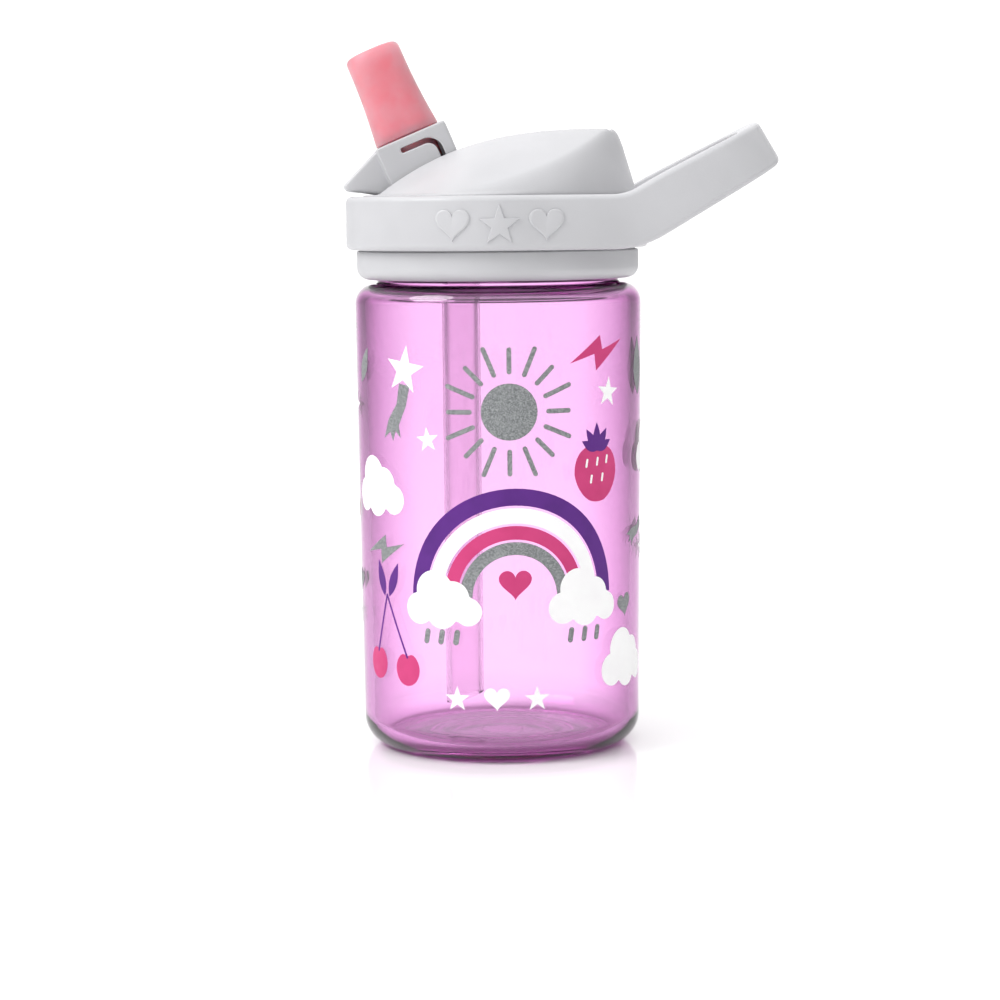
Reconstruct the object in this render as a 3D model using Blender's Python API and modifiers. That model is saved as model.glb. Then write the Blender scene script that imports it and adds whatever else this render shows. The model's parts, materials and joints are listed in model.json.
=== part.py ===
"""Kids' drinking bottle with a screw cap, a folding spout and a finger loop.

Metres, +Z up.  The origin is the centre of the base, on the surface that the bottle stands on.
The open spout leans towards -X, and the finger loop rises towards +X.
"""
import math

import bmesh
import bpy
from mathutils import Matrix, Vector

MM = 0.001
GAP = 0.3 * MM              # between pieces that touch
SEGMENTS = 64               # round a large turned piece
SMALL_SEGMENTS = 24         # round a small turned piece
MERGE = 0.00001
PAST = 1.0 * MM             # how far a cutter runs past the face it cuts
SUNK = 0.15 * MM            # how far a joined piece stays inside the faces round it

# Bottle
BODY_TOP_RADIUS = 36.5 * MM
BODY_FOOT_RADIUS = 35.5 * MM
BODY_TOP = 118.4 * MM
SHOULDER_RADIUS = 5.0 * MM
HEEL_RADIUS = 7.3 * MM
BODY_WALL = 2.0 * MM
FLOOR_THICKNESS = 2.2 * MM
BASE_RECESS = 1.0 * MM
FOOT_RING_WIDTH = 2.7 * MM
GATE_RADIUS = 5.0 * MM
NECK_RADIUS = 30.8 * MM
NECK_WALL = 2.8 * MM
NECK_HEIGHT = 10.6 * MM

# Screw thread
THREAD_PITCH = 4.5 * MM
THREAD_DEPTH = 1.4 * MM
THREAD_ROOT_WIDTH = 2.0 * MM
THREAD_CREST_WIDTH = 0.9 * MM
NECK_THREAD_TURNS = 1.25
CAP_THREAD_TURNS = 0.75
THREAD_CLEARANCE = 0.4 * MM
THREAD_RUN_IN = 1.8 * MM    # plain neck above the thread
THREAD_ROOT_RELIEF = 0.1 * MM
THREAD_BURIAL = 0.5 * MM    # how deep the thread's root is sunk in its wall
THREAD_END_SHARE = 0.15     # of the thread's height, left at its run-out ends
THREAD_RUN_OUTS = 8         # run-outs in one turn, so each is an eighth of a turn long

# Cap body
SKIRT_WALL = 3.2 * MM
SKIRT_GAP = 1.1 * MM        # between the shoulder and the skirt's rim
SKIRT_ROUND = 3.0 * MM
DECK_THICKNESS = 2.6 * MM
GASKET_THICKNESS = 1.4 * MM
GASKET_RECESS = 0.2 * MM    # how far the gasket's edges stay inside the rim
UPPER_WALL = 1.9 * MM
UPPER_WALL_HEIGHT = 5.9 * MM
SKIRT_SHOWING = 7.5 * MM    # below the band
SNAP_DEPTH = 0.8 * MM
SNAP_HEIGHT = 1.2 * MM

# Band and finger loop
BAND_WALL = 2.3 * MM
BAND_ABOVE_WALL = 0.9 * MM  # how far the band rises past the cap body's upper wall
ARM_WALL = 4.6 * MM
TIP_WALL = 6.0 * MM
TIP_HEIGHT = 11.8 * MM
LOOP_ANGLE = math.radians(30.5)
LOOP_LENGTH = 77.2 * MM     # from the bottle's axis to the tip, before the bend
LOOP_TIP_HALF_WIDTH = 31.0 * MM
LOOP_CORNER_RADIUS = 14.0 * MM
LOOP_END_ANGLE = math.radians(10.0)
ARM_START_X = 5.0 * MM      # the band thickens into the arms from here
ARM_FULL_X = 30.0 * MM
TIP_START_X = 60.0 * MM     # and the arms into the tip from here
BEND_START = 28.2 * MM
BEND_TOP_RADIUS = 12.0 * MM
BAND_EDGE_OUTER = 1.5 * MM
BAND_EDGE_INNER = 0.6 * MM
REAR_BAND_SPREAD = math.radians(115.0)

# Dome
DOME_WALL = 2.0 * MM
DOME_RISE = 16.6 * MM       # height of the top line above the band
DOME_PEAK_X = 28.0 * MM
DOME_FALL_LENGTH = 58.5 * MM
DOME_FALL_POWER = 2.8
DOME_CROWN_RADIUS = 45.0 * MM
DOME_WALL_SLOPE = 3.3       # rise for each unit inwards
DOME_EDGE_BLEND = 3.5 * MM
DOME_LIP_HEIGHT = 1.0 * MM

# Spout
PIVOT_X = -17.5 * MM
PIVOT_ABOVE_DECK = 10.0 * MM
SPOUT_LEAN = math.radians(22.8)
SPOUT_HALF_WIDTH = 9.9 * MM
DRUM_RADIUS = 8.5 * MM
DRUM_EDGE = 1.2 * MM
TRUNNION_RADIUS = 3.0 * MM
SPOUT_SIDE_CLEARANCE = 0.7 * MM
COLLAR_TOP = 12.9 * MM      # above the pivot, along the spout
COLLAR_FRONT = -8.6 * MM
COLLAR_BACK = 10.1 * MM
COLLAR_BACK_FOOT = 4.3 * MM
LIP_ROOT = 3.0 * MM         # how far the thumb lip reaches into the collar
LIP_DROP = 0.2 * MM
LIP_TIP = (-19.9 * MM, 7.8 * MM)
LIP_UNDERSIDE = ((-19.7 * MM, 6.2 * MM), (-16.6 * MM, 4.6 * MM), (-12.4 * MM, 2.0 * MM),
                 (-6.0 * MM, -1.5 * MM))
LIP_HALF_WIDTH = 8.2 * MM
LIP_EDGE = 1.0 * MM
SPIGOT_RADIUS = 4.7 * MM
SPIGOT_HEIGHT = 12.6 * MM
SPOUT_BORE_RADIUS = 2.8 * MM
INLET_BORE_RADIUS = 2.7 * MM
POCKET_FLOOR = 4.1 * MM
SLOT_WIDTH = 1.2 * MM
SLOT_START = -2.8 * MM
SLOT_BELOW_TOP = 2.9 * MM
SLOT_BEND_RADIUS = 3.3 * MM
SLOT_FOOT = 2.5 * MM
TROUGH_RISE = 8.2 * MM
TROUGH_LOW_END = -2.0 * MM
TROUGH_RAMP_START = (4.0 * MM, 1.0 * MM)    # past the low end, and above the dome's bottom
TROUGH_END = 28.5 * MM

# Bite valve, half sizes across (along X) and along Y, at heights above the pivot
VALVE_PLUG = (6.8 * MM, 8.0 * MM)
VALVE_FOOT = (8.4 * MM, 9.5 * MM)
VALVE_TIP = (7.1 * MM, 9.3 * MM)
VALVE_TIP_HEIGHT = 36.4 * MM
VALVE_WALL = 2.0 * MM
VALVE_EDGE = 1.5 * MM
VALVE_FOOT_HEIGHT = 0.6 * MM

# Small pieces
SEAL_RADIUS = 4.7 * MM
SEAL_BORE_RADIUS = 2.5 * MM
SEAL_RECESS = 1.2 * MM
SEAL_OVERLAP = 1.2 * MM     # how far the seal's sides rise past the drum's lowest line
STRAW_X = -9.5 * MM
STRAW_RADIUS = 4.85 * MM
STRAW_WALL = 1.2 * MM
STRAW_FLOOR_CLEARANCE = 6.3 * MM
STRAW_NOTCH_ANGLE = math.radians(20.0)
STRAW_NOTCH_DEPTH = 5.0 * MM
NOZZLE_LENGTH = 8.5 * MM
NOZZLE_BORE_RADIUS = 2.1 * MM
DUCT_RADIUS = 2.3 * MM
BOSS_HEIGHT = 4.5 * MM
BOSS_WALL = 2.6 * MM
VENT_X = 0.0 * MM
VENT_SIDE_CLEARANCE = 2.0 * MM  # between the vent valve's bulb and the trough's wall
VENT_DISC_RADIUS = 5.5 * MM
VENT_STEM_RADIUS = 1.2 * MM
VENT_DISC_EDGE = 0.5 * MM
VENT_DISC_HEIGHT = 1.1 * MM
VENT_BULB_RADIUS = 2.1 * MM
VENT_BULB_HEIGHT = 2.0 * MM
VENT_HOLE_RADIUS = 0.6 * MM
VENT_HOLE_CIRCLE = 3.6 * MM
VENT_HOLES = 4

# Places worked out from the sizes above
FLOOR_TOP = BASE_RECESS + FLOOR_THICKNESS
NECK_TOP = BODY_TOP + NECK_HEIGHT
NECK_BORE_RADIUS = NECK_RADIUS - NECK_WALL
DECK_BOTTOM = NECK_TOP + GASKET_THICKNESS + 2 * GAP
DECK_TOP = DECK_BOTTOM + DECK_THICKNESS
SKIRT_BOTTOM = BODY_TOP + SKIRT_GAP
THREAD_CREST_RADIUS = NECK_RADIUS + THREAD_DEPTH
SKIRT_BORE_RADIUS = THREAD_CREST_RADIUS + THREAD_CLEARANCE + THREAD_ROOT_RELIEF
SKIRT_RADIUS = SKIRT_BORE_RADIUS + SKIRT_WALL
UPPER_WALL_TOP = DECK_TOP + UPPER_WALL_HEIGHT
BAND_BORE_RADIUS = SKIRT_RADIUS + GAP
BAND_RADIUS = BAND_BORE_RADIUS + BAND_WALL
BAND_BOTTOM = SKIRT_BOTTOM + SKIRT_SHOWING
BAND_TOP = UPPER_WALL_TOP + BAND_ABOVE_WALL
BAND_HEIGHT = BAND_TOP - BAND_BOTTOM
DOME_RADIUS = BAND_BORE_RADIUS - 2 * GAP
DOME_FOOT_RADIUS = SKIRT_RADIUS - UPPER_WALL - GAP
DOME_BOTTOM = DECK_TOP + GAP
DOME_LIP_BOTTOM = UPPER_WALL_TOP + GAP
DOME_LIP_TOP = DOME_LIP_BOTTOM + DOME_LIP_HEIGHT
PIVOT = Vector((PIVOT_X, 0.0, DECK_TOP + PIVOT_ABOVE_DECK))
TROUGH_HALF_WIDTH = SPOUT_HALF_WIDTH + SPOUT_SIDE_CLEARANCE
STRAW_BORE_RADIUS = STRAW_RADIUS - STRAW_WALL
BOSS_BOTTOM = DECK_BOTTOM - BOSS_HEIGHT
VENT_Y = TROUGH_HALF_WIDTH + DOME_WALL + VENT_SIDE_CLEARANCE + VENT_BULB_RADIUS

PINK = (0.95, 0.30, 0.40)
LIGHT_GREY = (0.78, 0.78, 0.80)
VIOLET = (0.80, 0.45, 0.78)
PALE_PINK = (0.90, 0.60, 0.85)
CLEAR_GREY = (0.70, 0.70, 0.70)


# ---------------------------------------------------------------- scene and materials

def clear_scene():
    """Remove every object that the file opened with."""
    for item in list(bpy.data.objects):
        bpy.data.objects.remove(item, do_unlink=True)


def new_collection(name):
    """Add a collection to the scene and return it."""
    collection = bpy.data.collections.new(name)
    bpy.context.scene.collection.children.link(collection)
    return collection


def plastic(name, colour, roughness):
    """Return a plain Principled material."""
    material = bpy.data.materials.new(name)
    material.use_nodes = True
    shader = material.node_tree.nodes["Principled BSDF"]
    shader.inputs["Base Color"].default_value = (*colour, 1.0)
    shader.inputs["Roughness"].default_value = roughness
    shader.inputs["Metallic"].default_value = 0.0
    return material


def add_part(name, mesh, material):
    """Put a mesh in the bottle's collection as a named part."""
    part = bpy.data.objects.new(name, mesh)
    mesh.materials.clear()
    mesh.materials.append(material)
    PARTS.objects.link(part)
    mesh.shade_smooth()
    mesh.set_sharp_from_angle(angle=math.radians(35.0))
    return part


def add_cutter(name, mesh):
    """Put a mesh in the cutters' collection, hidden from renders."""
    cutter = bpy.data.objects.new(name, mesh)
    cutter.hide_render = True
    cutter.display_type = "WIRE"
    CUTTERS.objects.link(cutter)
    return cutter


# ---------------------------------------------------------------- mesh tools

def arc(centre, radius, start, end, steps):
    """Return points on an arc in the profile plane, angles in degrees."""
    points = []
    for step in range(steps + 1):
        angle = math.radians(start + (end - start) * step / steps)
        points.append((centre[0] + radius * math.cos(angle),
                       centre[1] + radius * math.sin(angle)))
    return points


def mesh_from_bmesh(name, shape):
    """Turn a bmesh into a mesh with its faces pointing out."""
    bmesh.ops.recalc_face_normals(shape, faces=shape.faces)
    if shape.calc_volume(signed=True) < 0.0:
        bmesh.ops.reverse_faces(shape, faces=shape.faces)
    mesh = bpy.data.meshes.new(name)
    shape.to_mesh(mesh)
    shape.free()
    return mesh


def turn(target, segments):
    """Give an object that holds a profile the Screw modifier that turns it about Z."""
    screw = target.modifiers.new("Turn", "SCREW")
    screw.steps = segments
    screw.render_steps = segments
    screw.use_merge_vertices = True
    screw.merge_threshold = MERGE
    screw.use_smooth_shade = True


def profile_mesh(name, points, closed):
    """Return a mesh of edges through (radius, height) points."""
    count = len(points)
    vertices = [(radius, 0.0, height) for radius, height in points]
    edges = [(index, index + 1) for index in range(count - 1)]
    if closed:
        edges.append((count - 1, 0))
    mesh = bpy.data.meshes.new(name)
    mesh.from_pydata(vertices, edges, [])
    return mesh


def loft(name, rings, joined=False):
    """Skin rings of equal length, capped at the ends or joined last to first."""
    shape = bmesh.new()
    rows = [[shape.verts.new(point) for point in ring] for ring in rings]
    pairs = list(zip(rows, rows[1:]))
    if joined:
        pairs.append((rows[-1], rows[0]))
    for low, high in pairs:
        for index in range(len(low)):
            after = (index + 1) % len(low)
            shape.faces.new((low[index], low[after], high[after], high[index]))
    if not joined:
        shape.faces.new(rows[0])
        shape.faces.new(rows[-1])
    return mesh_from_bmesh(name, shape)


def cylinder(name, radius, start, end, segments=SMALL_SEGMENTS):
    """Return a closed cylinder between two points."""
    start = Vector(start)
    axis = Vector(end) - start
    turn_to_axis = axis.to_track_quat("Z", "Y").to_matrix().to_4x4()
    place = Matrix.Translation(start + axis / 2) @ turn_to_axis
    shape = bmesh.new()
    bmesh.ops.create_cone(shape, cap_ends=True, segments=segments, radius1=radius,
                          radius2=radius, depth=axis.length, matrix=place)
    return mesh_from_bmesh(name, shape)


def prism(name, outline, half_depth):
    """Extrude an (x, z) outline to both sides along Y."""
    curve = bpy.data.curves.new(name, "CURVE")
    curve.dimensions = "2D"
    curve.fill_mode = "BOTH"
    curve.extrude = half_depth
    spline = curve.splines.new("POLY")
    spline.points.add(len(outline) - 1)
    for point, (across, height) in zip(spline.points, outline):
        point.co = (across, height, 0.0, 1.0)
    spline.use_cyclic_u = True
    guide = bpy.data.objects.new(name, curve)
    CUTTERS.objects.link(guide)
    depsgraph = bpy.context.evaluated_depsgraph_get()
    flat = bpy.data.meshes.new_from_object(guide.evaluated_get(depsgraph))
    bpy.data.objects.remove(guide, do_unlink=True)
    shape = bmesh.new()
    shape.from_mesh(flat)
    bmesh.ops.remove_doubles(shape, verts=shape.verts, dist=MERGE)
    bmesh.ops.rotate(shape, verts=shape.verts, matrix=Matrix.Rotation(math.pi / 2, 3, "X"))
    return mesh_from_bmesh(name, shape)


def combine(target, other, operation):
    """Add an EXACT Boolean modifier."""
    step = target.modifiers.new(other.name, "BOOLEAN")
    step.operation = operation
    step.object = other
    step.solver = "EXACT"


def round_edges(target, width, segments=2, angle=40.0):
    """Add a Bevel modifier on the sharp edges."""
    bevel = target.modifiers.new("Round", "BEVEL")
    bevel.width = width
    bevel.segments = segments
    bevel.limit_method = "ANGLE"
    bevel.angle_limit = math.radians(angle)


def smoothstep(value, low, high):
    """Ease from 0 to 1 between two values."""
    share = min(max((value - low) / (high - low), 0.0), 1.0)
    return share * share * (3.0 - 2.0 * share)


def blend(start, end, share):
    """Return the value a share of the way from start to end."""
    return start + (end - start) * share


# ---------------------------------------------------------------- thread

def thread_mesh(name, root_radius, crest_radius, top, turns):
    """Return one helical thread with run-out ends, its first turn starting at the top."""
    outward = 1.0 if crest_radius > root_radius else -1.0
    buried = root_radius - outward * THREAD_BURIAL
    steps = int(SEGMENTS * turns)
    run_out = SEGMENTS // THREAD_RUN_OUTS
    rings = []
    for step in range(steps + 1):
        share = min(step, steps - step) / run_out
        height = blend(THREAD_END_SHARE, 1.0, min(share, 1.0))
        crest = blend(buried, crest_radius, height)
        angle = 2 * math.pi * step / SEGMENTS
        middle = top - THREAD_ROOT_WIDTH / 2 - THREAD_PITCH * step / SEGMENTS
        corners = ((buried, THREAD_ROOT_WIDTH / 2), (crest, THREAD_CREST_WIDTH / 2),
                   (crest, -THREAD_CREST_WIDTH / 2), (buried, -THREAD_ROOT_WIDTH / 2))
        rings.append([(radius * math.cos(angle), -radius * math.sin(angle), middle + offset)
                      for radius, offset in corners])
    return loft(name, rings)


# ---------------------------------------------------------------- bottle

def bottle_profile():
    """Return the bottle's section: inner floor, inner wall, rim, outer wall and base."""
    inner_heel = HEEL_RADIUS - BODY_WALL
    inner_shoulder = SHOULDER_RADIUS - BODY_WALL
    foot_inner = BODY_FOOT_RADIUS - BODY_WALL
    shoulder_x = BODY_TOP_RADIUS - SHOULDER_RADIUS
    shoulder_z = BODY_TOP - SHOULDER_RADIUS
    foot = BODY_FOOT_RADIUS - HEEL_RADIUS
    ring_inside = foot - FOOT_RING_WIDTH
    rim = 0.6 * MM
    points = [(0.0, FLOOR_TOP)]
    points += arc((foot_inner - inner_heel, FLOOR_TOP + inner_heel), inner_heel, -90, 0, 4)
    points += arc((shoulder_x, shoulder_z), inner_shoulder, 0, 90, 3)
    points += [(NECK_BORE_RADIUS, BODY_TOP - BODY_WALL + rim)]
    points += [(NECK_BORE_RADIUS, NECK_TOP - rim), (NECK_BORE_RADIUS + rim, NECK_TOP)]
    points += [(NECK_RADIUS - rim, NECK_TOP), (NECK_RADIUS, NECK_TOP - rim)]
    points += [(NECK_RADIUS, BODY_TOP + rim)]
    points += arc((shoulder_x, shoulder_z), SHOULDER_RADIUS, 90, 0, 5)
    points += arc((foot, HEEL_RADIUS), HEEL_RADIUS, 0, -90, 6)
    points += [(ring_inside, 0.0), (ring_inside - BASE_RECESS, BASE_RECESS)]
    points += [(GATE_RADIUS + BASE_RECESS, BASE_RECESS), (GATE_RADIUS, 0.0), (0.0, 0.0)]
    return points


def make_bottle(material):
    """Build the bottle with its neck thread."""
    bottle = add_part("bottle_body", profile_mesh("bottle_body", bottle_profile(), False), material)
    turn(bottle, SEGMENTS)
    thread = thread_mesh("neck_thread", NECK_RADIUS, THREAD_CREST_RADIUS, NECK_TOP - THREAD_RUN_IN,
                         NECK_THREAD_TURNS)
    combine(bottle, add_cutter("neck_thread", thread), "UNION")


# ---------------------------------------------------------------- cap

def cap_profile():
    """Return the cap body's section: deck top, upper wall, skirt and deck underside."""
    snap_top = BAND_BOTTOM + SNAP_HEIGHT + GAP
    snap_bottom = BAND_BOTTOM - GAP
    snap_radius = SKIRT_RADIUS - SNAP_DEPTH
    edge = 0.4 * MM
    points = [(0.0, DECK_TOP), (SKIRT_RADIUS - UPPER_WALL, DECK_TOP)]
    points += [(SKIRT_RADIUS - UPPER_WALL, UPPER_WALL_TOP), (SKIRT_RADIUS - edge, UPPER_WALL_TOP)]
    points += [(SKIRT_RADIUS, UPPER_WALL_TOP - edge), (SKIRT_RADIUS, snap_top)]
    points += [(snap_radius, snap_top), (snap_radius, snap_bottom), (SKIRT_RADIUS, snap_bottom)]
    round_centre = (SKIRT_RADIUS - SKIRT_ROUND, SKIRT_BOTTOM + SKIRT_ROUND)
    points += arc(round_centre, SKIRT_ROUND, 0, -90, 4)
    points += [(SKIRT_BORE_RADIUS, SKIRT_BOTTOM + edge), (SKIRT_BORE_RADIUS, DECK_BOTTOM)]
    points += [(0.0, DECK_BOTTOM)]
    return points


def vent_hole_places():
    """Return the centres of the small air holes round the vent valve's stem."""
    angles = [2 * math.pi * (index + 0.5) / VENT_HOLES for index in range(VENT_HOLES)]
    return [(VENT_X + VENT_HOLE_CIRCLE * math.cos(angle), VENT_Y + VENT_HOLE_CIRCLE * math.sin(angle))
            for angle in angles]


def straw_boss_mesh():
    """Return the oval boss under the deck that holds the slanting duct."""
    middle = (PIVOT_X + STRAW_X) / 2
    half_length = abs(PIVOT_X - STRAW_X) / 2 + DUCT_RADIUS + BOSS_WALL
    half_width = DUCT_RADIUS + BOSS_WALL
    rings = []
    for height in (BOSS_BOTTOM, DECK_BOTTOM + DECK_THICKNESS / 2):
        rings.append([(middle + half_length * math.cos(angle), half_width * math.sin(angle), height)
                      for angle in (2 * math.pi * step / SMALL_SEGMENTS
                                    for step in range(SMALL_SEGMENTS))])
    return loft("straw_boss", rings)


def make_cap_body(material):
    """Build the cap body with its thread, straw duct, seal recess and vent holes."""
    cap = add_part("cap_body", profile_mesh("cap_body", cap_profile(), False), material)
    turn(cap, SEGMENTS)
    crest = NECK_RADIUS + THREAD_CLEARANCE
    thread_top = NECK_TOP - THREAD_RUN_IN - THREAD_PITCH / 2
    thread = thread_mesh("cap_thread", SKIRT_BORE_RADIUS, crest, thread_top, CAP_THREAD_TURNS)
    combine(cap, add_cutter("cap_thread", thread), "UNION")
    combine(cap, add_cutter("straw_boss", straw_boss_mesh()), "UNION")

    nozzle_bottom = BOSS_BOTTOM - NOZZLE_LENGTH
    nozzle = cylinder("straw_nozzle", STRAW_BORE_RADIUS - GAP, (STRAW_X, 0, nozzle_bottom),
                      (STRAW_X, 0, BOSS_BOTTOM + PAST))
    combine(cap, add_cutter("straw_nozzle", nozzle), "UNION")

    duct_end = BOSS_BOTTOM + DUCT_RADIUS
    recess_bottom = DECK_TOP - SEAL_RECESS
    below = DECK_BOTTOM - PAST
    above = DECK_TOP + PAST
    cuts = [
        ("nozzle_bore", NOZZLE_BORE_RADIUS, (STRAW_X, 0, nozzle_bottom - PAST), (STRAW_X, 0, duct_end)),
        ("duct", DUCT_RADIUS, (PIVOT_X, 0, DECK_TOP), (STRAW_X, 0, duct_end)),
        ("seal_recess", SEAL_RADIUS + GAP, (PIVOT_X, 0, recess_bottom), (PIVOT_X, 0, above)),
        ("vent_bore", VENT_STEM_RADIUS + GAP, (VENT_X, VENT_Y, below), (VENT_X, VENT_Y, above)),
    ]
    for name, radius, start, end in cuts:
        combine(cap, add_cutter(name, cylinder(name, radius, start, end)), "DIFFERENCE")
    for index, (x, y) in enumerate(vent_hole_places()):
        hole = cylinder("air_hole", VENT_HOLE_RADIUS, (x, y, below), (x, y, above), 8)
        combine(cap, add_cutter(f"air_hole_{index}", hole), "DIFFERENCE")


def make_gasket(material):
    """Build the ring that seals the deck on the neck rim."""
    inner = NECK_BORE_RADIUS + GASKET_RECESS
    outer = NECK_RADIUS + GASKET_RECESS
    bottom = NECK_TOP + GAP
    top = bottom + GASKET_THICKNESS
    edge = GASKET_THICKNESS / 4
    points = [(inner, top - edge), (inner + edge, top), (outer - edge, top), (outer, top - edge),
              (outer, bottom + edge), (outer - edge, bottom), (inner + edge, bottom),
              (inner, bottom + edge)]
    gasket = add_part("cap_gasket", profile_mesh("cap_gasket", points, True), material)
    turn(gasket, SEGMENTS)


def make_vent_valve(material):
    """Build the umbrella valve: bulb above the deck, stem through it, disc below."""
    bulb_bottom = DECK_TOP + GAP
    disc_top = DECK_BOTTOM - GAP
    points = [(0.0, bulb_bottom + VENT_BULB_HEIGHT),
              (0.6 * VENT_BULB_RADIUS, bulb_bottom + 0.85 * VENT_BULB_HEIGHT),
              (VENT_BULB_RADIUS, bulb_bottom + 0.3 * VENT_BULB_HEIGHT),
              (VENT_BULB_RADIUS, bulb_bottom), (VENT_STEM_RADIUS, bulb_bottom),
              (VENT_STEM_RADIUS, disc_top), (VENT_DISC_RADIUS, disc_top),
              (VENT_DISC_RADIUS, disc_top - VENT_DISC_EDGE),
              (VENT_STEM_RADIUS, disc_top - VENT_DISC_HEIGHT), (0.0, disc_top - VENT_DISC_HEIGHT)]
    valve = add_part("vent_valve", profile_mesh("vent_valve", points, False), material)
    valve.location = (VENT_X, VENT_Y, 0.0)
    turn(valve, SMALL_SEGMENTS)


# ---------------------------------------------------------------- dome

def dome_height(x, y, inset):
    """Return the height of the dome's surface, moved in by an inset."""
    fall = max(DOME_PEAK_X - x, 0.0) / DOME_FALL_LENGTH
    crown = (TROUGH_HALF_WIDTH ** 2 - y * y) / (2 * DOME_CROWN_RADIUS)
    top = BAND_TOP + DOME_RISE * (1.0 - fall ** DOME_FALL_POWER) + crown - inset
    radius = math.hypot(x, y) + inset
    wall = DOME_LIP_TOP + (DOME_RADIUS - radius) * DOME_WALL_SLOPE
    overlap = max(DOME_EDGE_BLEND - abs(top - wall), 0.0) / DOME_EDGE_BLEND
    joined = min(top, wall) - overlap * overlap * DOME_EDGE_BLEND / 4
    return max(joined, DOME_LIP_TOP - inset)


def dome_mesh(name, foot, wall_radius, inset, ring_shares):
    """Return a closed dome: vertical sides from the foot, then rings over the top."""
    rings = []
    for radius, height in foot:
        rings.append([(radius * math.cos(angle), radius * math.sin(angle), height)
                      for angle in (2 * math.pi * step / SEGMENTS for step in range(SEGMENTS))])
    for share in ring_shares:
        radius = wall_radius * share
        ring = []
        for step in range(SEGMENTS):
            angle = 2 * math.pi * step / SEGMENTS
            x = radius * math.cos(angle)
            y = radius * math.sin(angle)
            ring.append((x, y, dome_height(x, y, inset)))
        rings.append(ring)
    return loft(name, rings)


def trough_outline(grow):
    """Return the (x, z) outline of the trough, its floor and end moved out by a wall.

    The trough is open to the deck in front of its low end.
    """
    above = BAND_TOP + 2 * DOME_RISE
    below = DOME_BOTTOM - DOME_WALL
    floor = DOME_BOTTOM - grow
    front = -2 * BAND_RADIUS
    end = TROUGH_END + grow
    ramp_x, ramp_z = TROUGH_RAMP_START
    return [(front, below), (TROUGH_LOW_END, below), (TROUGH_LOW_END + ramp_x, floor + ramp_z),
            (end, floor + TROUGH_RISE), (end, above), (front, above)]


def make_dome(material):
    """Build the cover: a shell with a trough for the folded spout and two trunnion holes."""
    foot = [(DOME_FOOT_RADIUS, DOME_BOTTOM), (DOME_FOOT_RADIUS, DOME_LIP_BOTTOM),
            (DOME_RADIUS, DOME_LIP_BOTTOM), (DOME_RADIUS, DOME_LIP_TOP)]
    outer_shares = (0.985, 0.965, 0.94, 0.91, 0.88, 0.84, 0.79, 0.72, 0.62, 0.48, 0.3, 0.1)
    dome = add_part("cap_dome", dome_mesh("cap_dome", foot, DOME_RADIUS, 0.0, outer_shares), material)

    cavity_radius = DOME_FOOT_RADIUS - DOME_WALL
    cavity_foot = [(cavity_radius, DOME_BOTTOM - DOME_WALL)]
    inner_shares = (1.0, 0.96, 0.9, 0.8, 0.66, 0.48, 0.25)
    cavity_mesh = dome_mesh("cavity", cavity_foot, cavity_radius, DOME_WALL, inner_shares)
    cavity = add_cutter("cavity", cavity_mesh)
    walls = prism("trough_walls", trough_outline(DOME_WALL), TROUGH_HALF_WIDTH + DOME_WALL)
    combine(cavity, add_cutter("trough_walls", walls), "DIFFERENCE")
    combine(dome, cavity, "DIFFERENCE")
    trough = prism("trough", trough_outline(0.0), TROUGH_HALF_WIDTH)
    combine(dome, add_cutter("trough", trough), "DIFFERENCE")
    reach = Vector((0, TROUGH_HALF_WIDTH + 2 * DOME_WALL, 0))
    hole = cylinder("trunnion_holes", TRUNNION_RADIUS + GAP, PIVOT - reach, PIVOT + reach)
    combine(dome, add_cutter("trunnion_holes", hole), "DIFFERENCE")


# ---------------------------------------------------------------- band and finger loop

def loop_path():
    """Return (point, outward normal) pairs round the band and loop, before the bend."""
    end_radius = ((LOOP_TIP_HALF_WIDTH - LOOP_CORNER_RADIUS) / math.sin(LOOP_END_ANGLE)
                  + LOOP_CORNER_RADIUS)
    end_centre = Vector((LOOP_LENGTH - end_radius, 0.0))
    reach = end_radius - LOOP_CORNER_RADIUS
    corner = end_centre + reach * Vector((math.cos(LOOP_END_ANGLE), math.sin(LOOP_END_ANGLE)))
    leave = (math.atan2(corner.y, corner.x)
             + math.acos((BAND_RADIUS - LOOP_CORNER_RADIUS) / corner.length))

    half = []
    for step in range(5):
        half.append((end_centre, end_radius, LOOP_END_ANGLE * step / 5))
    for step in range(8):
        half.append((corner, LOOP_CORNER_RADIUS, blend(LOOP_END_ANGLE, leave, step / 7)))
    straight = 12
    for step in range(1, straight):
        share = step / straight
        half.append((corner * (1 - share), blend(LOOP_CORNER_RADIUS, BAND_RADIUS, share), leave))
    front = 20
    for step in range(front + 1):
        half.append((Vector((0.0, 0.0)), BAND_RADIUS, blend(leave, math.pi, step / front)))

    path = []
    for centre, radius, angle in half:
        normal = Vector((math.cos(angle), math.sin(angle)))
        path.append((centre + radius * normal, normal))
    mirrored = [(Vector((point.x, -point.y)), Vector((normal.x, -normal.y)))
                for point, normal in reversed(path[1:-1])]
    return path + mirrored


def band_section(wall, bottom, top):
    """Return (inward, height) points of the band's rounded section."""
    outer = min(BAND_EDGE_OUTER, 0.65 * wall)
    inner = min(BAND_EDGE_INNER, 0.25 * wall)
    points = arc((outer, top - outer), outer, 180, 90, 3)
    points += arc((wall - inner, top - inner), inner, 90, 0, 2)
    points += arc((wall - inner, bottom + inner), inner, 0, -90, 2)
    points += arc((outer, bottom + outer), outer, 270, 180, 3)
    return points


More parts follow.
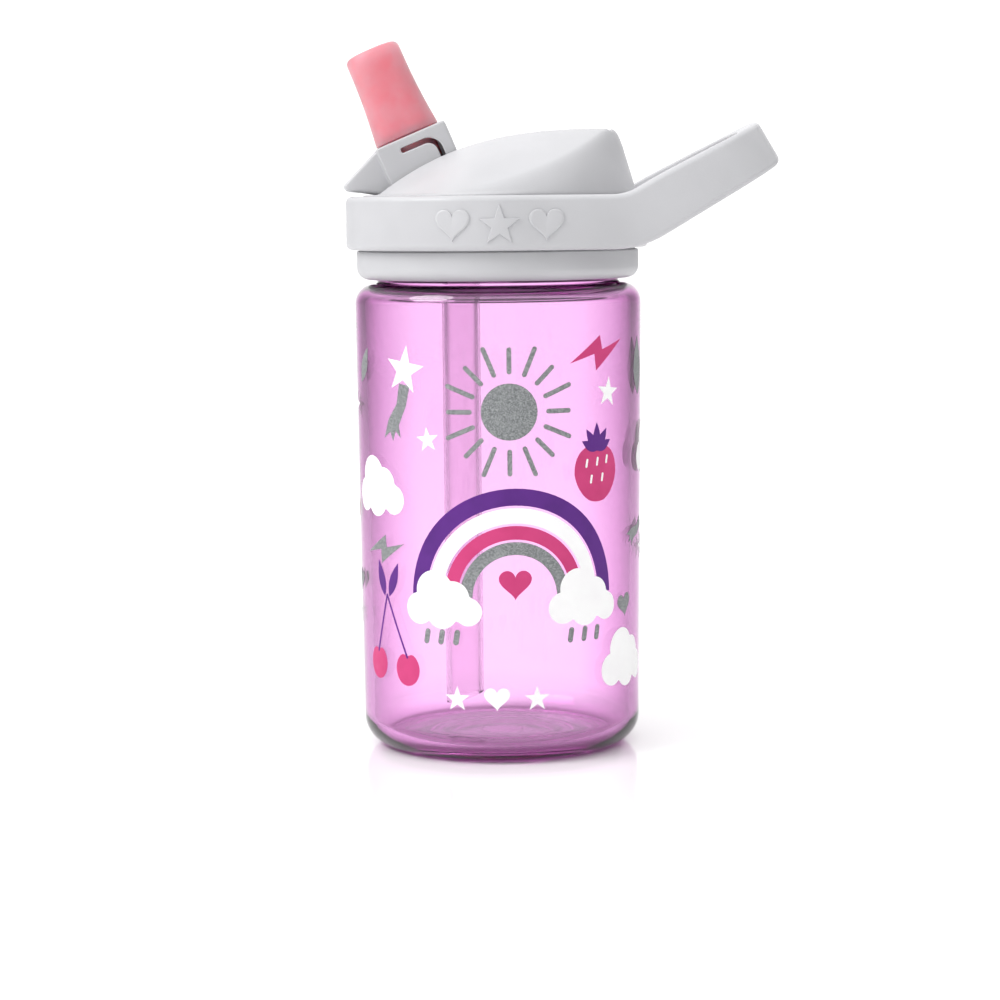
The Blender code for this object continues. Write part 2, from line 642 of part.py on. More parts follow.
def bend_up(x, y, z):
    """Bend a point of the flat loop up about a line along Y."""
    radius = BEND_TOP_RADIUS + BAND_TOP - z
    reference = BEND_TOP_RADIUS + BAND_HEIGHT
    angle = min(max((x - BEND_START) / reference, 0.0), LOOP_ANGLE)
    if angle == 0.0:
        return x, y, z
    beyond = max(x - BEND_START - reference * LOOP_ANGLE, 0.0)
    centre_z = BAND_TOP + BEND_TOP_RADIUS
    return (BEND_START + radius * math.sin(angle) + beyond * math.cos(angle), y,
            centre_z - radius * math.cos(angle) + beyond * math.sin(angle))


def loop_ring(point, normal):
    """Return one section of the band or loop in its place."""
    wall = blend(BAND_WALL, ARM_WALL, smoothstep(point.x, ARM_START_X, ARM_FULL_X))
    wall = blend(wall, TIP_WALL, smoothstep(point.x, TIP_START_X, LOOP_LENGTH))
    straight_start = BEND_START + (BEND_TOP_RADIUS + BAND_HEIGHT) * LOOP_ANGLE
    taper = smoothstep(point.x, straight_start, LOOP_LENGTH)
    height = blend(BAND_HEIGHT, TIP_HEIGHT, taper)
    ring = []
    for inward, level in band_section(wall, BAND_BOTTOM, BAND_BOTTOM + height):
        place = point - inward * normal
        ring.append(bend_up(place.x, place.y, level))
    return ring


def make_handle(material):
    """Build the band, its rear half behind the dome, its snap ring and the finger loop."""
    rings = [loop_ring(point, normal) for point, normal in loop_path()]
    handle = add_part("handle_band", loft("handle_band", rings, joined=True), material)

    steps = 44
    radius = BAND_RADIUS - SUNK
    rear = []
    section = band_section(BAND_WALL - 2 * SUNK, BAND_BOTTOM + SUNK, BAND_TOP - SUNK)
    for step in range(steps + 1):
        angle = blend(-REAR_BAND_SPREAD, REAR_BAND_SPREAD, step / steps)
        rear.append([((radius - inward) * math.cos(angle), (radius - inward) * math.sin(angle), level)
                     for inward, level in section])
    combine(handle, add_cutter("rear_band", loft("rear_band", rear)), "UNION")

    snap_inner = SKIRT_RADIUS - SNAP_DEPTH + GAP
    snap_outer = BAND_BORE_RADIUS + BAND_WALL / 3
    snap_bottom = BAND_BOTTOM + SUNK
    snap_top = BAND_BOTTOM + SNAP_HEIGHT
    points = [(snap_inner, snap_top), (snap_outer, snap_top), (snap_outer, snap_bottom),
              (snap_inner, snap_bottom)]
    snap = add_cutter("snap_ring", profile_mesh("snap_ring", points, True))
    turn(snap, SEGMENTS)
    combine(handle, snap, "UNION")


# ---------------------------------------------------------------- spout

def stem_outline():
    """Return the (x, z) outline of the drum and collar, from the pivot.

    The drum stays round up to the collar's back foot, so the folded spout clears the seal.
    """
    end = 360.0 + math.degrees(math.asin(COLLAR_BACK_FOOT / DRUM_RADIUS))
    points = arc((0.0, 0.0), DRUM_RADIUS, 180, end, 14)
    points += [(COLLAR_BACK, COLLAR_BACK_FOOT), (COLLAR_BACK, COLLAR_TOP)]
    points += [(COLLAR_FRONT, COLLAR_TOP)]
    return points


def lip_outline():
    """Return the (x, z) outline of the thumb lip, from the pivot."""
    top = COLLAR_TOP - LIP_DROP
    return [(COLLAR_FRONT + LIP_ROOT, top), (COLLAR_FRONT, top), LIP_TIP, *LIP_UNDERSIDE]


def slot_path():
    """Return (x, z) points along the hooked slot in the collar's sides."""
    level = COLLAR_TOP - SLOT_BELOW_TOP
    points = [(SLOT_START, level), (0.0, level)]
    points += arc((SLOT_BEND_RADIUS, level - SLOT_BEND_RADIUS), SLOT_BEND_RADIUS, 90, 0, 5)
    points += [(2 * SLOT_BEND_RADIUS, SLOT_FOOT)]
    return points


def slot_mesh(name, side):
    """Return the cutter for the hooked slot on one side."""
    path = [Vector(point) for point in slot_path()]
    rings = []
    for index, point in enumerate(path):
        before = path[max(index - 1, 0)]
        after = path[min(index + 1, len(path) - 1)]
        along = (after - before).normalized()
        across = Vector((-along.y, along.x)) * SLOT_WIDTH / 2
        near = side * (SPOUT_HALF_WIDTH + PAST)
        far = side * (VALVE_PLUG[1] + GAP / 2)
        rings.append([(point.x + across.x, near, point.y + across.y),
                      (point.x - across.x, near, point.y - across.y),
                      (point.x - across.x, far, point.y - across.y),
                      (point.x + across.x, far, point.y + across.y)])
    return loft(name, rings)


def oval(half_x, half_y, height, power=2.6, steps=SMALL_SEGMENTS):
    """Return a rounded oval ring at a height."""
    ring = []
    for step in range(steps):
        angle = 2 * math.pi * step / steps
        cosine = math.cos(angle)
        sine = math.sin(angle)
        ring.append((half_x * math.copysign(abs(cosine) ** (2 / power), cosine),
                     half_y * math.copysign(abs(sine) ** (2 / power), sine), height))
    return ring


def make_stem(pivot, material):
    """Build the spout stem with its pocket, spigot, bores, slots, lip and trunnions."""
    stem = add_part("spout_stem", prism("spout_stem", stem_outline(), SPOUT_HALF_WIDTH), material)
    stem.parent = pivot
    round_edges(stem, DRUM_EDGE)

    def helper(name, mesh):
        item = add_cutter(name, mesh)
        item.parent = pivot
        return item

    lip = helper("thumb_lip", prism("thumb_lip", lip_outline(), LIP_HALF_WIDTH))
    round_edges(lip, LIP_EDGE, angle=50.0)
    combine(stem, lip, "UNION")
    pocket_x = VALVE_PLUG[0] + GAP
    pocket_y = VALVE_PLUG[1] + GAP
    pocket = loft("pocket", [oval(pocket_x, pocket_y, POCKET_FLOOR),
                             oval(pocket_x, pocket_y, COLLAR_TOP + PAST)])
    combine(stem, helper("pocket", pocket), "DIFFERENCE")
    spigot = cylinder("spigot", SPIGOT_RADIUS, (0, 0, POCKET_FLOOR - PAST), (0, 0, SPIGOT_HEIGHT))
    combine(stem, helper("spigot", spigot), "UNION")
    trunnion_reach = TROUGH_HALF_WIDTH + DOME_WALL - GAP
    trunnion = cylinder("trunnions", TRUNNION_RADIUS, (0, -trunnion_reach, 0), (0, trunnion_reach, 0))
    combine(stem, helper("trunnions", trunnion), "UNION")
    up_bore = cylinder("up_bore", SPOUT_BORE_RADIUS, (0, 0, 0), (0, 0, SPIGOT_HEIGHT + PAST))
    combine(stem, helper("up_bore", up_bore), "DIFFERENCE")
    down = Vector((-math.sin(SPOUT_LEAN), 0, -math.cos(SPOUT_LEAN)))
    inlet = cylinder("inlet_bore", INLET_BORE_RADIUS, -PAST * down, (DRUM_RADIUS + PAST) * down)
    combine(stem, helper("inlet_bore", inlet), "DIFFERENCE")
    for side in (-1, 1):
        name = f"hook_slot_{'left' if side < 0 else 'right'}"
        combine(stem, helper(name, slot_mesh(name, side)), "DIFFERENCE")


def make_bite_valve(pivot, material):
    """Build the hollow mouthpiece with its plug, foot and rounded tip."""
    foot = COLLAR_TOP + GAP
    edge = VALVE_EDGE
    tip_x, tip_y = VALVE_TIP
    outer = [oval(*VALVE_PLUG, POCKET_FLOOR + GAP), oval(*VALVE_PLUG, foot),
             oval(*VALVE_FOOT, foot), oval(*VALVE_FOOT, foot + VALVE_FOOT_HEIGHT)]
    for share in (0.33, 0.66, 1.0):
        outer.append(oval(blend(VALVE_FOOT[0], tip_x, share), blend(VALVE_FOOT[1], tip_y, share),
                          blend(foot, VALVE_TIP_HEIGHT - edge, share)))
    outer.append(oval(tip_x - edge * 0.35, tip_y - edge * 0.35, VALVE_TIP_HEIGHT - edge * 0.35))
    outer.append(oval(tip_x - edge, tip_y - edge, VALVE_TIP_HEIGHT))
    valve = add_part("bite_valve", loft("bite_valve", outer), material)
    valve.parent = pivot

    hole = SPIGOT_RADIUS + GAP
    wall = VALVE_WALL
    chamber = SPIGOT_HEIGHT + GAP
    inner = [oval(hole, hole, POCKET_FLOOR, power=2.0), oval(hole, hole, chamber, power=2.0)]
    inner += [oval(VALVE_FOOT[0] - wall, VALVE_FOOT[1] - wall, chamber + wall),
              oval(tip_x - wall, tip_y - wall, VALVE_TIP_HEIGHT - 2 * wall),
              oval(tip_x - 2 * wall, tip_y - 2 * wall, VALVE_TIP_HEIGHT - wall)]
    cutter = add_cutter("valve_chamber", loft("valve_chamber", inner))
    cutter.parent = pivot
    combine(valve, cutter, "DIFFERENCE")


def make_spout(stem_material, valve_material):
    """Build the stem and the bite valve on one empty at the spout's pivot."""
    pivot = bpy.data.objects.new("spout_pivot", None)
    pivot.location = PIVOT
    pivot.rotation_euler = (0.0, -SPOUT_LEAN, 0.0)
    PARTS.objects.link(pivot)
    make_stem(pivot, stem_material)
    make_bite_valve(pivot, valve_material)


def make_spout_seal(material):
    """Build the ring under the drum, its top hollowed to the drum's curve."""
    bottom = DECK_TOP - SEAL_RECESS + GAP
    top = PIVOT.z - DRUM_RADIUS + SEAL_OVERLAP
    points = [(SEAL_BORE_RADIUS, top), (SEAL_RADIUS, top), (SEAL_RADIUS, bottom),
              (SEAL_BORE_RADIUS, bottom)]
    seal = add_part("spout_seal", profile_mesh("spout_seal", points, True), material)
    seal.location.x = PIVOT_X
    turn(seal, SMALL_SEGMENTS)
    reach = Vector((0, SPOUT_HALF_WIDTH, 0))
    drum = cylinder("drum_hollow", DRUM_RADIUS + GAP, PIVOT - reach, PIVOT + reach, SEGMENTS)
    combine(seal, add_cutter("drum_hollow", drum), "DIFFERENCE")


def make_straw(material):
    """Build the straw, its lower end cut at a slant."""
    bottom = FLOOR_TOP + STRAW_FLOOR_CLEARANCE
    top = BOSS_BOTTOM - GAP
    points = [(STRAW_BORE_RADIUS, top), (STRAW_RADIUS, top), (STRAW_RADIUS, bottom),
              (STRAW_BORE_RADIUS, bottom)]
    straw = add_part("straw", profile_mesh("straw", points, True), material)
    straw.location.x = STRAW_X
    turn(straw, SMALL_SEGMENTS)
    rise = 2 * STRAW_RADIUS * math.tan(STRAW_NOTCH_ANGLE)
    reach = STRAW_RADIUS + PAST
    wedge = [(-reach, bottom - STRAW_NOTCH_DEPTH), (reach, bottom - STRAW_NOTCH_DEPTH),
             (reach, bottom + rise), (-reach, bottom - SUNK)]
    notch = add_cutter("straw_notch", prism("straw_notch", wedge, reach))
    notch.location.x = STRAW_X
    combine(straw, notch, "DIFFERENCE")


# ---------------------------------------------------------------- build

clear_scene()
PARTS = new_collection("kids_bottle")
CUTTERS = new_collection("cutters")

clear_body = plastic("clear_violet_copolyester", VIOLET, 0.08)
cap_plastic = plastic("light_grey_polypropylene", LIGHT_GREY, 0.35)
soft_pink = plastic("pink_silicone", PINK, 0.4)
clear_silicone = plastic("clear_silicone", CLEAR_GREY, 0.45)
straw_plastic = plastic("straw_polypropylene", PALE_PINK, 0.25)

make_bottle(clear_body)
make_cap_body(cap_plastic)
make_gasket(clear_silicone)
make_vent_valve(clear_silicone)
make_dome(cap_plastic)
make_handle(cap_plastic)
make_spout(cap_plastic, soft_pink)
make_spout_seal(clear_silicone)
make_straw(straw_plastic)
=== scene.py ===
"""Looks of a children's drinking bottle with a screw cap, a folding spout and a finger loop.

Metres, +Z up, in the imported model's own frame.  The bottle's printed side faces -Y.
"""
import json
import logging
import math
from dataclasses import dataclass
from enum import Enum
from typing import Callable, Optional, Sequence

import bmesh
import bpy
from mathutils import Matrix, Vector


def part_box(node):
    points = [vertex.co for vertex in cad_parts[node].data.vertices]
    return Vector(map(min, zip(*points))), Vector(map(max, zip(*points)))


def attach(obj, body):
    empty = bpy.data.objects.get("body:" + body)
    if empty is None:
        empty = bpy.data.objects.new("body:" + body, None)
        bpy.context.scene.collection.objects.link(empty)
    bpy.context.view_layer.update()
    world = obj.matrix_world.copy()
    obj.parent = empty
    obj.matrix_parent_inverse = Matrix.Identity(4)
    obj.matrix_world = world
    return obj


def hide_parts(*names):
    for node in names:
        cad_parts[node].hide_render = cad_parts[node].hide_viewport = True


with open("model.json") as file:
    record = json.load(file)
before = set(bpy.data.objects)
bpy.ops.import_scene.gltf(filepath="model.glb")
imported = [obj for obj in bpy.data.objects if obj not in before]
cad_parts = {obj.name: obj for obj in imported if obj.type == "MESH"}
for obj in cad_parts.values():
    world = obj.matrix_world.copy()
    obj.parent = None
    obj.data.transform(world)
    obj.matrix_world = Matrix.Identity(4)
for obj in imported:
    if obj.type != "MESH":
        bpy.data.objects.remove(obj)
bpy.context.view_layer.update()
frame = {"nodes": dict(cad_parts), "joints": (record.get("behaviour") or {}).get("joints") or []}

LOG = logging.getLogger("kids_bottle")

MM = 0.001
GAP = 0.3 * MM              # between pieces that touch
MERGE = 0.00001             # distance at which points are welded
ROUND_STEPS = 192           # round a large turned piece
SMALL_STEPS = 64            # round a small turned piece
PAST = 1.0 * MM             # how far a cutter runs past the face it cuts
BAND_ABOVE_WALL = 0.9 * MM  # the carry band's top over the cap's upper wall
THREAD_PITCH = 4.5 * MM
THREAD_DEPTH = 1.4 * MM
THREAD_RUN_IN = 1.8 * MM    # from the neck's rim down to the thread
SNAP_HEIGHT = 1.2 * MM      # the bead that holds the carry band in the cap's groove
STRAW_WALL = 1.2 * MM

Point2 = tuple[float, float]
Point3 = tuple[float, float, float]
Ring = list[Point3]


# ---------------------------------------------------------------- mesh tools

def arc(centre: Point2, radius: float, start: float, end: float, steps: int) -> list[Point2]:
    """Return points on an arc.

    Args:
        centre: The arc's centre.
        radius: Its radius.
        start: First angle in degrees.
        end: Last angle in degrees.
        steps: Number of straight steps along it.

    Returns:
        The points, both ends included.
    """
    points = []
    for step in range(steps + 1):
        angle = math.radians(start + (end - start) * step / steps)
        points.append((centre[0] + radius * math.cos(angle), centre[1] + radius * math.sin(angle)))
    return points


def blend(start: float, end: float, share: float) -> float:
    """Return the value a share of the way from start to end."""
    return start + (end - start) * share


def smoothstep(value: float, low: float, high: float) -> float:
    """Return an ease from 0 to 1 as the value goes from low to high."""
    share = min(max((value - low) / (high - low), 0.0), 1.0)
    return share * share * (3.0 - 2.0 * share)


def mesh_from_bmesh(name: str, shape: bmesh.types.BMesh) -> bpy.types.Mesh:
    """Turn a bmesh into a mesh with its faces pointing out.

    Args:
        name: The mesh's name.
        shape: The bmesh, which is freed.

    Returns:
        The mesh.
    """
    bmesh.ops.recalc_face_normals(shape, faces=shape.faces)
    if shape.calc_volume(signed=True) < 0.0:
        bmesh.ops.reverse_faces(shape, faces=shape.faces)
    mesh = bpy.data.meshes.new(name)
    shape.to_mesh(mesh)
    shape.free()
    return mesh


def skin(name: str, rings: Sequence[Sequence[Point3]], joined: bool = False) -> bpy.types.Mesh:
    """Skin a row of rings into one closed mesh.

    Args:
        name: The mesh's name.
        rings: Rings of equal length; a ring of one point is a pole.
        joined: Whether the last ring joins the first, as on a loop.

    Returns:
        The closed mesh.
    """
    shape = bmesh.new()
    rows = [[shape.verts.new(point) for point in ring] for ring in rings]
    pairs = list(zip(rows, rows[1:]))
    if joined:
        pairs.append((rows[-1], rows[0]))
    for low, high in pairs:
        for index in range(max(len(low), len(high))):
            after = index + 1
            corners = [low[index % len(low)], low[after % len(low)],
                       high[after % len(high)], high[index % len(high)]]
            shape.faces.new(list(dict.fromkeys(corners)))
    if not joined:
        for end in (rows[0], rows[-1]):
            if len(end) > 1:
                shape.faces.new(end)
    return mesh_from_bmesh(name, shape)


def circle(radius: float, height: float, steps: int) -> Ring:
    """Return a ring about Z, or a pole where the radius is nothing."""
    if radius < MERGE:
        return [(0.0, 0.0, height)]
    angles = [2 * math.pi * step / steps for step in range(steps)]
    return [(radius * math.cos(angle), radius * math.sin(angle), height) for angle in angles]


def turned(name: str, profile: Sequence[Point2], steps: int, joined: bool = False) -> bpy.types.Mesh:
    """Turn a (radius, height) profile about Z.

    Args:
        name: The mesh's name.
        profile: The profile's points.
        steps: Number of steps round.
        joined: Whether the profile closes on itself.

    Returns:
        The closed mesh.
    """
    return skin(name, [circle(radius, height, steps) for radius, height in profile], joined)


def rod(name: str, radius: float, start: Point3, end: Point3, steps: int = SMALL_STEPS) -> bpy.types.Mesh:
    """Return a round cutter or peg between two points.

    Args:
        name: The mesh's name.
        radius: Its radius.
        start: Centre of one end.
        end: Centre of the other end.
        steps: Number of steps round.

    Returns:
        The closed mesh.
    """
    start_point = Vector(start)
    axis = Vector(end) - start_point
    mesh = turned(name, [(radius, 0.0), (radius, axis.length)], steps)
    mesh.transform(Matrix.Translation(start_point) @ axis.to_track_quat("Z", "Y").to_matrix().to_4x4())
    return mesh


def prism(name: str, outline: Sequence[Point2], half_depth: float) -> bpy.types.Mesh:
    """Extrude an (x, z) outline to both sides along Y.

    Args:
        name: The mesh's name.
        outline: The outline's points.
        half_depth: Reach along Y to each side.

    Returns:
        The closed mesh.
    """
    return skin(name, [[(x, side * half_depth, z) for x, z in outline] for side in (-1, 1)])


def shown(name: str, mesh: bpy.types.Mesh) -> bpy.types.Object:
    """Put a mesh in the scene as an object."""
    item = bpy.data.objects.new(name, mesh)
    bpy.context.scene.collection.objects.link(item)
    return item


def with_modifiers(name: str, mesh: bpy.types.Mesh,
                   add: Callable[[bpy.types.Object], None]) -> bpy.types.Mesh:
    """Run modifiers on a mesh and return what they make.

    Args:
        name: The new mesh's name.
        mesh: The mesh to start from.
        add: A function that gives an object its modifiers.

    Returns:
        The evaluated mesh.
    """
    item = shown(name, mesh)
    add(item)
    depsgraph = bpy.context.evaluated_depsgraph_get()
    made = bpy.data.meshes.new_from_object(item.evaluated_get(depsgraph))
    bpy.data.objects.remove(item, do_unlink=True)
    made.name = name
    return made


class Joining(Enum):
    """How two solids are put together."""

    UNION = "UNION"
    DIFFERENCE = "DIFFERENCE"


def combined(mesh: bpy.types.Mesh, tool: bpy.types.Mesh, joining: Joining) -> bpy.types.Mesh:
    """Join a tool to a mesh, or cut it out of it.

    Args:
        mesh: The mesh to work on.
        tool: The second closed mesh.
        joining: Union or difference.

    Returns:
        The new mesh.
    """
    helper = shown(f"{mesh.name}_tool", tool)

    def add(item: bpy.types.Object) -> None:
        """Give the object an EXACT Boolean."""
        step = item.modifiers.new("Combine", "BOOLEAN")
        step.operation = joining.value
        step.object = helper
        step.solver = "EXACT"

    made = with_modifiers(mesh.name, mesh, add)
    bpy.data.objects.remove(helper, do_unlink=True)
    return made


def rounded(mesh: bpy.types.Mesh, width: float, segments: int, angle: float) -> bpy.types.Mesh:
    """Round a mesh's sharp edges.

    Args:
        mesh: The mesh.
        width: Width of the rounding.
        segments: Steps across it.
        angle: Edges sharper than this many degrees are rounded.

    Returns:
        The new mesh.
    """
    def add(item: bpy.types.Object) -> None:
        """Give the object a Bevel."""
        bevel = item.modifiers.new("Round", "BEVEL")
        bevel.width = width
        bevel.segments = segments
        bevel.limit_method = "ANGLE"
        bevel.angle_limit = math.radians(angle)

    return with_modifiers(mesh.name, mesh, add)


def moulded(mesh: bpy.types.Mesh, voxel: float, passes: int,
            softer: Optional[Callable[[Vector], float]] = None, softer_passes: int = 0) -> bpy.types.Mesh:
    """Give joined shapes one continuous skin with the small fillets of a moulding.

    Args:
        mesh: The joined shapes.
        voxel: Size of the new skin's faces.
        passes: Smoothing passes all over.
        softer: Gives the share of further smoothing at a point.
        softer_passes: Further smoothing passes where softer says.

    Returns:
        The new mesh.
    """
    def remesh(item: bpy.types.Object) -> None:
        """Give the object its new skin."""
        step = item.modifiers.new("Skin", "REMESH")
        step.mode = "VOXEL"
        step.voxel_size = voxel
        smooth = item.modifiers.new("Fillets", "SMOOTH")
        smooth.factor = 0.5
        smooth.iterations = passes

    made = with_modifiers(mesh.name, mesh, remesh)
    if softer is None:
        return made

    def soften(item: bpy.types.Object) -> None:
        """Smooth the object further where softer says."""
        group = item.vertex_groups.new(name="softer")
        for vertex in item.data.vertices:
            share = softer(vertex.co)
            if share > 0.0:
                group.add([vertex.index], share, "REPLACE")
        step = item.modifiers.new("Soften", "SMOOTH")
        step.factor = 0.5
        step.iterations = softer_passes
        step.vertex_group = group.name

    return with_modifiers(mesh.name, made, soften)


def oval(half_x: float, half_y: float, height: float, power: float = 2.6, steps: int = SMALL_STEPS) -> Ring:
    """Return a rounded oval ring.

    Args:
        half_x: Half its size along X.
        half_y: Half its size along Y.
        height: Its height.
        power: 2 for an ellipse, and more for squarer corners.
        steps: Number of points.

    Returns:
        The ring.
    """
    ring = []
    for step in range(steps):
        cosine = math.cos(2 * math.pi * step / steps)
        sine = math.sin(2 * math.pi * step / steps)
        ring.append((half_x * math.copysign(abs(cosine) ** (2 / power), cosine),
                     half_y * math.copysign(abs(sine) ** (2 / power), sine), height))
    return ring


def thread(name: str, root: float, crest: float, top: float, turns: float) -> bpy.types.Mesh:
    """Return one right-handed helical thread with run-out ends.

    Args:
        name: The mesh's name.
        root: Radius of the wall that it grows from.
        crest: Radius of its crest, inside or outside the root.
        top: Height of its upper end.
        turns: Number of turns.

    Returns:
        The closed mesh.
    """
    root_half = 1.0 * MM
    crest_half = 0.45 * MM
    burial = 0.5 * MM           # how deep its root sits in the wall
    steps_per_turn = 128
    run_out = steps_per_turn / 8
    end_share = 0.15            # of its depth that is left at its ends
    buried = root - math.copysign(burial, crest - root)
    steps = int(steps_per_turn * turns)
    rings = []
    for step in range(steps + 1):
        share = blend(end_share, 1.0, min(min(step, steps - step) / run_out, 1.0))
        reach = blend(buried, crest, share)
        angle = -2 * math.pi * step / steps_per_turn
        middle = top - root_half - THREAD_PITCH * step / steps_per_turn
        section = ((buried, root_half), (reach, crest_half), (reach, -crest_half), (buried, -root_half))
        rings.append([(radius * math.cos(angle), radius * math.sin(angle), middle + offset)
                      for radius, offset in section])
    return skin(name, rings)


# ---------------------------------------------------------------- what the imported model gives

@dataclass(frozen=True)
class Levels:
    """Heights, radii and places that the pieces share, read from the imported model."""

    neck_top: float
    body_radius: float
    skirt_radius: float
    upper_wall_top: float
    band_radius: float
    band_bottom: float
    dome_radius: float
    dome_bottom: float
    straw_low: Vector
    straw_high: Vector
    spout: Matrix

    @classmethod
    def read(cls) -> "Levels":
        """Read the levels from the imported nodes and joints."""
        joints = {joint["name"]: joint for joint in frame["joints"]}
        along = joints["bite_valve_pull"]["axis"]
        lean = math.atan2(-along[0], along[2])
        pivot = Matrix.Translation(joints["spout_flip"]["pos_m"])
        straw_low, straw_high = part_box("straw")
        return cls(
            neck_top=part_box("bottle_body")[1].z,
            body_radius=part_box("bottle_body")[1].x,
            skirt_radius=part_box("cap_body")[1].x,
            upper_wall_top=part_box("cap_body")[1].z,
            band_radius=-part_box("handle_band")[0].x,
            band_bottom=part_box("handle_band")[0].z,
            dome_radius=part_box("cap_dome")[1].x,
            dome_bottom=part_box("cap_dome")[0].z,
            straw_low=straw_low,
            straw_high=straw_high,
            spout=pivot @ Matrix.Rotation(-lean, 4, "Y"),
        )

    @property
    def pivot(self) -> Vector:
        """Return the spout's pivot."""
        return self.spout.translation

    @property
    def deck_top(self) -> float:
        """Return the top of the cap's deck, which the dome stands on."""
        return self.dome_bottom - GAP

    @property
    def band_top(self) -> float:
        """Return the band's top, just above the cap's upper wall."""
        return self.upper_wall_top + BAND_ABOVE_WALL


# ---------------------------------------------------------------- finishes

def linear(colour: str) -> tuple[float, float, float, float]:
    """Turn an sRGB hex colour to linear values with full alpha."""
    values = [int(colour[index:index + 2], 16) / 255 for index in (1, 3, 5)]
    return (*[value / 12.92 if value <= 0.04045 else ((value + 0.055) / 1.055) ** 2.4
              for value in values], 1.0)


def per_metre(size: float) -> float:
    """Return the texture scale whose pattern repeats about every size, in metres."""
    return 1.0 / size


def add_node(tree: bpy.types.NodeTree, kind: str, settings: Optional[dict] = None,
             links: Optional[dict] = None) -> bpy.types.Node:
    """Add a node with its settings and links.

    Args:
        tree: The node tree.
        kind: The node's type.
        settings: Values by input name, or by attribute name.
        links: Output sockets by the name of the input that they feed.

    Returns:
        The node.
    """
    node = tree.nodes.new(kind)
    for name, value in (settings or {}).items():
        if name in node.inputs:
            node.inputs[name].default_value = value
        else:
            setattr(node, name, value)
    for name, socket in (links or {}).items():
        tree.links.new(socket, node.inputs[name])
    return node


class Dressing:
    """A new Principled material, with the place on the object as its texture coordinate."""

    def __init__(self, name: str, sockets: dict) -> None:
        """Start a material.

        Args:
            name: The material's name.
            sockets: Values for the shader's own sockets.
        """
        self.material = bpy.data.materials.new(name)
        self.material.use_nodes = True
        self.tree = self.material.node_tree
        self.shader = self.tree.nodes["Principled BSDF"]
        for socket, value in sockets.items():
            self.shader.inputs[socket].default_value = value
        self.place = add_node(self.tree, "ShaderNodeTexCoord").outputs["Object"]

    def noise(self, size: float, detail: float = 2.0) -> bpy.types.NodeSocket:
        """Return a noise whose lumps are about a size, in metres."""
        return add_node(self.tree, "ShaderNodeTexNoise", {"Scale": per_metre(size), "Detail": detail},
                        {"Vector": self.place}).outputs["Fac"]

    def ramp(self, source: bpy.types.NodeSocket, low: str, high: str, start: float,
             end: float) -> bpy.types.NodeSocket:
        """Return a colour that goes from low to high.

        Args:
            source: The value that drives it.
            low: Colour at and below start.
            high: Colour at and above end.
            start: Lower value.
            end: Upper value.

        Returns:
            The colour socket.
        """
        node = add_node(self.tree, "ShaderNodeValToRGB", links={"Fac": source})
        node.color_ramp.elements[0].position = start
        node.color_ramp.elements[0].color = linear(low)
        node.color_ramp.elements[1].position = end
        node.color_ramp.elements[1].color = linear(high)
        return node.outputs["Color"]

    def spread(self, source: bpy.types.NodeSocket, low: float, high: float) -> bpy.types.NodeSocket:
        """Return the source's middle range stretched to run from low to high."""
        return add_node(self.tree, "ShaderNodeMapRange", {"From Min": 0.3, "From Max": 0.7,
                        "To Min": low, "To Max": high}, {"Value": source}).outputs["Result"]

    def bump(self, source: bpy.types.NodeSocket, depth: float, strength: float = 1.0,
             under: Optional[bpy.types.NodeSocket] = None) -> bpy.types.NodeSocket:
        """Return a bumped normal.

        Args:
            source: The height.
            depth: Depth of the relief in metres.
            strength: Its strength.
            under: A normal to add to.

        Returns:
            The normal socket.
        """
        links = {"Height": source}
        if under is not None:
            links["Normal"] = under
        return add_node(self.tree, "ShaderNodeBump", {"Strength": strength, "Distance": depth},
                        links).outputs["Normal"]

    def feed(self, socket: str, source: bpy.types.NodeSocket) -> None:
        """Link a source to one of the shader's sockets."""
        self.tree.links.new(source, self.shader.inputs[socket])


@dataclass(frozen=True)
class BlownCopolyester:
    """Tinted copolyester, stretch-blown: glass clear, pale violet on the flat, deep violet at edges, partly
    painted edge shade.
    """

    tint: str = "#f847ef"       # what a thick wall lets through
    density: float = 130.0      # per metre
    # The edge stops darken the base colour as painted edge shade, beyond what the longer path through the
    # tinted wall gives.
    edge: tuple[tuple[float, str], ...] = (     # from square on to edge on
        (0.2, "#ffffff"), (0.5, "#e0d1dd"), (0.65, "#c3aec0"), (1.0, "#8e6c8c"))
    ior: float = 1.57
    ripple: float = 14.0 * MM   # the slow waves that blowing leaves in the wall

    def material(self) -> bpy.types.Material:
        """Make the material."""
        dressing = Dressing("blown_copolyester", {"IOR": self.ior, "Transmission Weight": 1.0})
        # Painted edge shade: seen edge on, the base colour turns deep violet, standing in for the shade
        # that a clear wall's edges take from the room, on top of the real longer path through the tinted
        # wall.
        facing = add_node(dressing.tree, "ShaderNodeLayerWeight", {"Blend": 0.5}).outputs["Facing"]
        painted_edge_shade = add_node(dressing.tree, "ShaderNodeValToRGB", links={"Fac": facing})
        stops = painted_edge_shade.color_ramp.elements
        for position, _ in self.edge[1:-1]:
            stops.new(position)
        for stop, (position, colour) in zip(stops, self.edge):
            stop.position = position
            stop.color = linear(colour)
        dressing.feed("Base Color", painted_edge_shade.outputs["Color"])
        # Slight haze and waves bend the straw's edges a little, as in a blown wall.
        dressing.feed("Roughness", dressing.spread(dressing.noise(9.0 * MM), 0.015, 0.05))
        dressing.feed("Normal", dressing.bump(dressing.noise(self.ripple), 0.05 * MM, 0.35))
        absorb = add_node(dressing.tree, "ShaderNodeVolumeAbsorption",
                          {"Color": linear(self.tint), "Density": self.density})
        output = dressing.tree.nodes["Material Output"]
        dressing.tree.links.new(absorb.outputs["Volume"], output.inputs["Volume"])
        return dressing.material


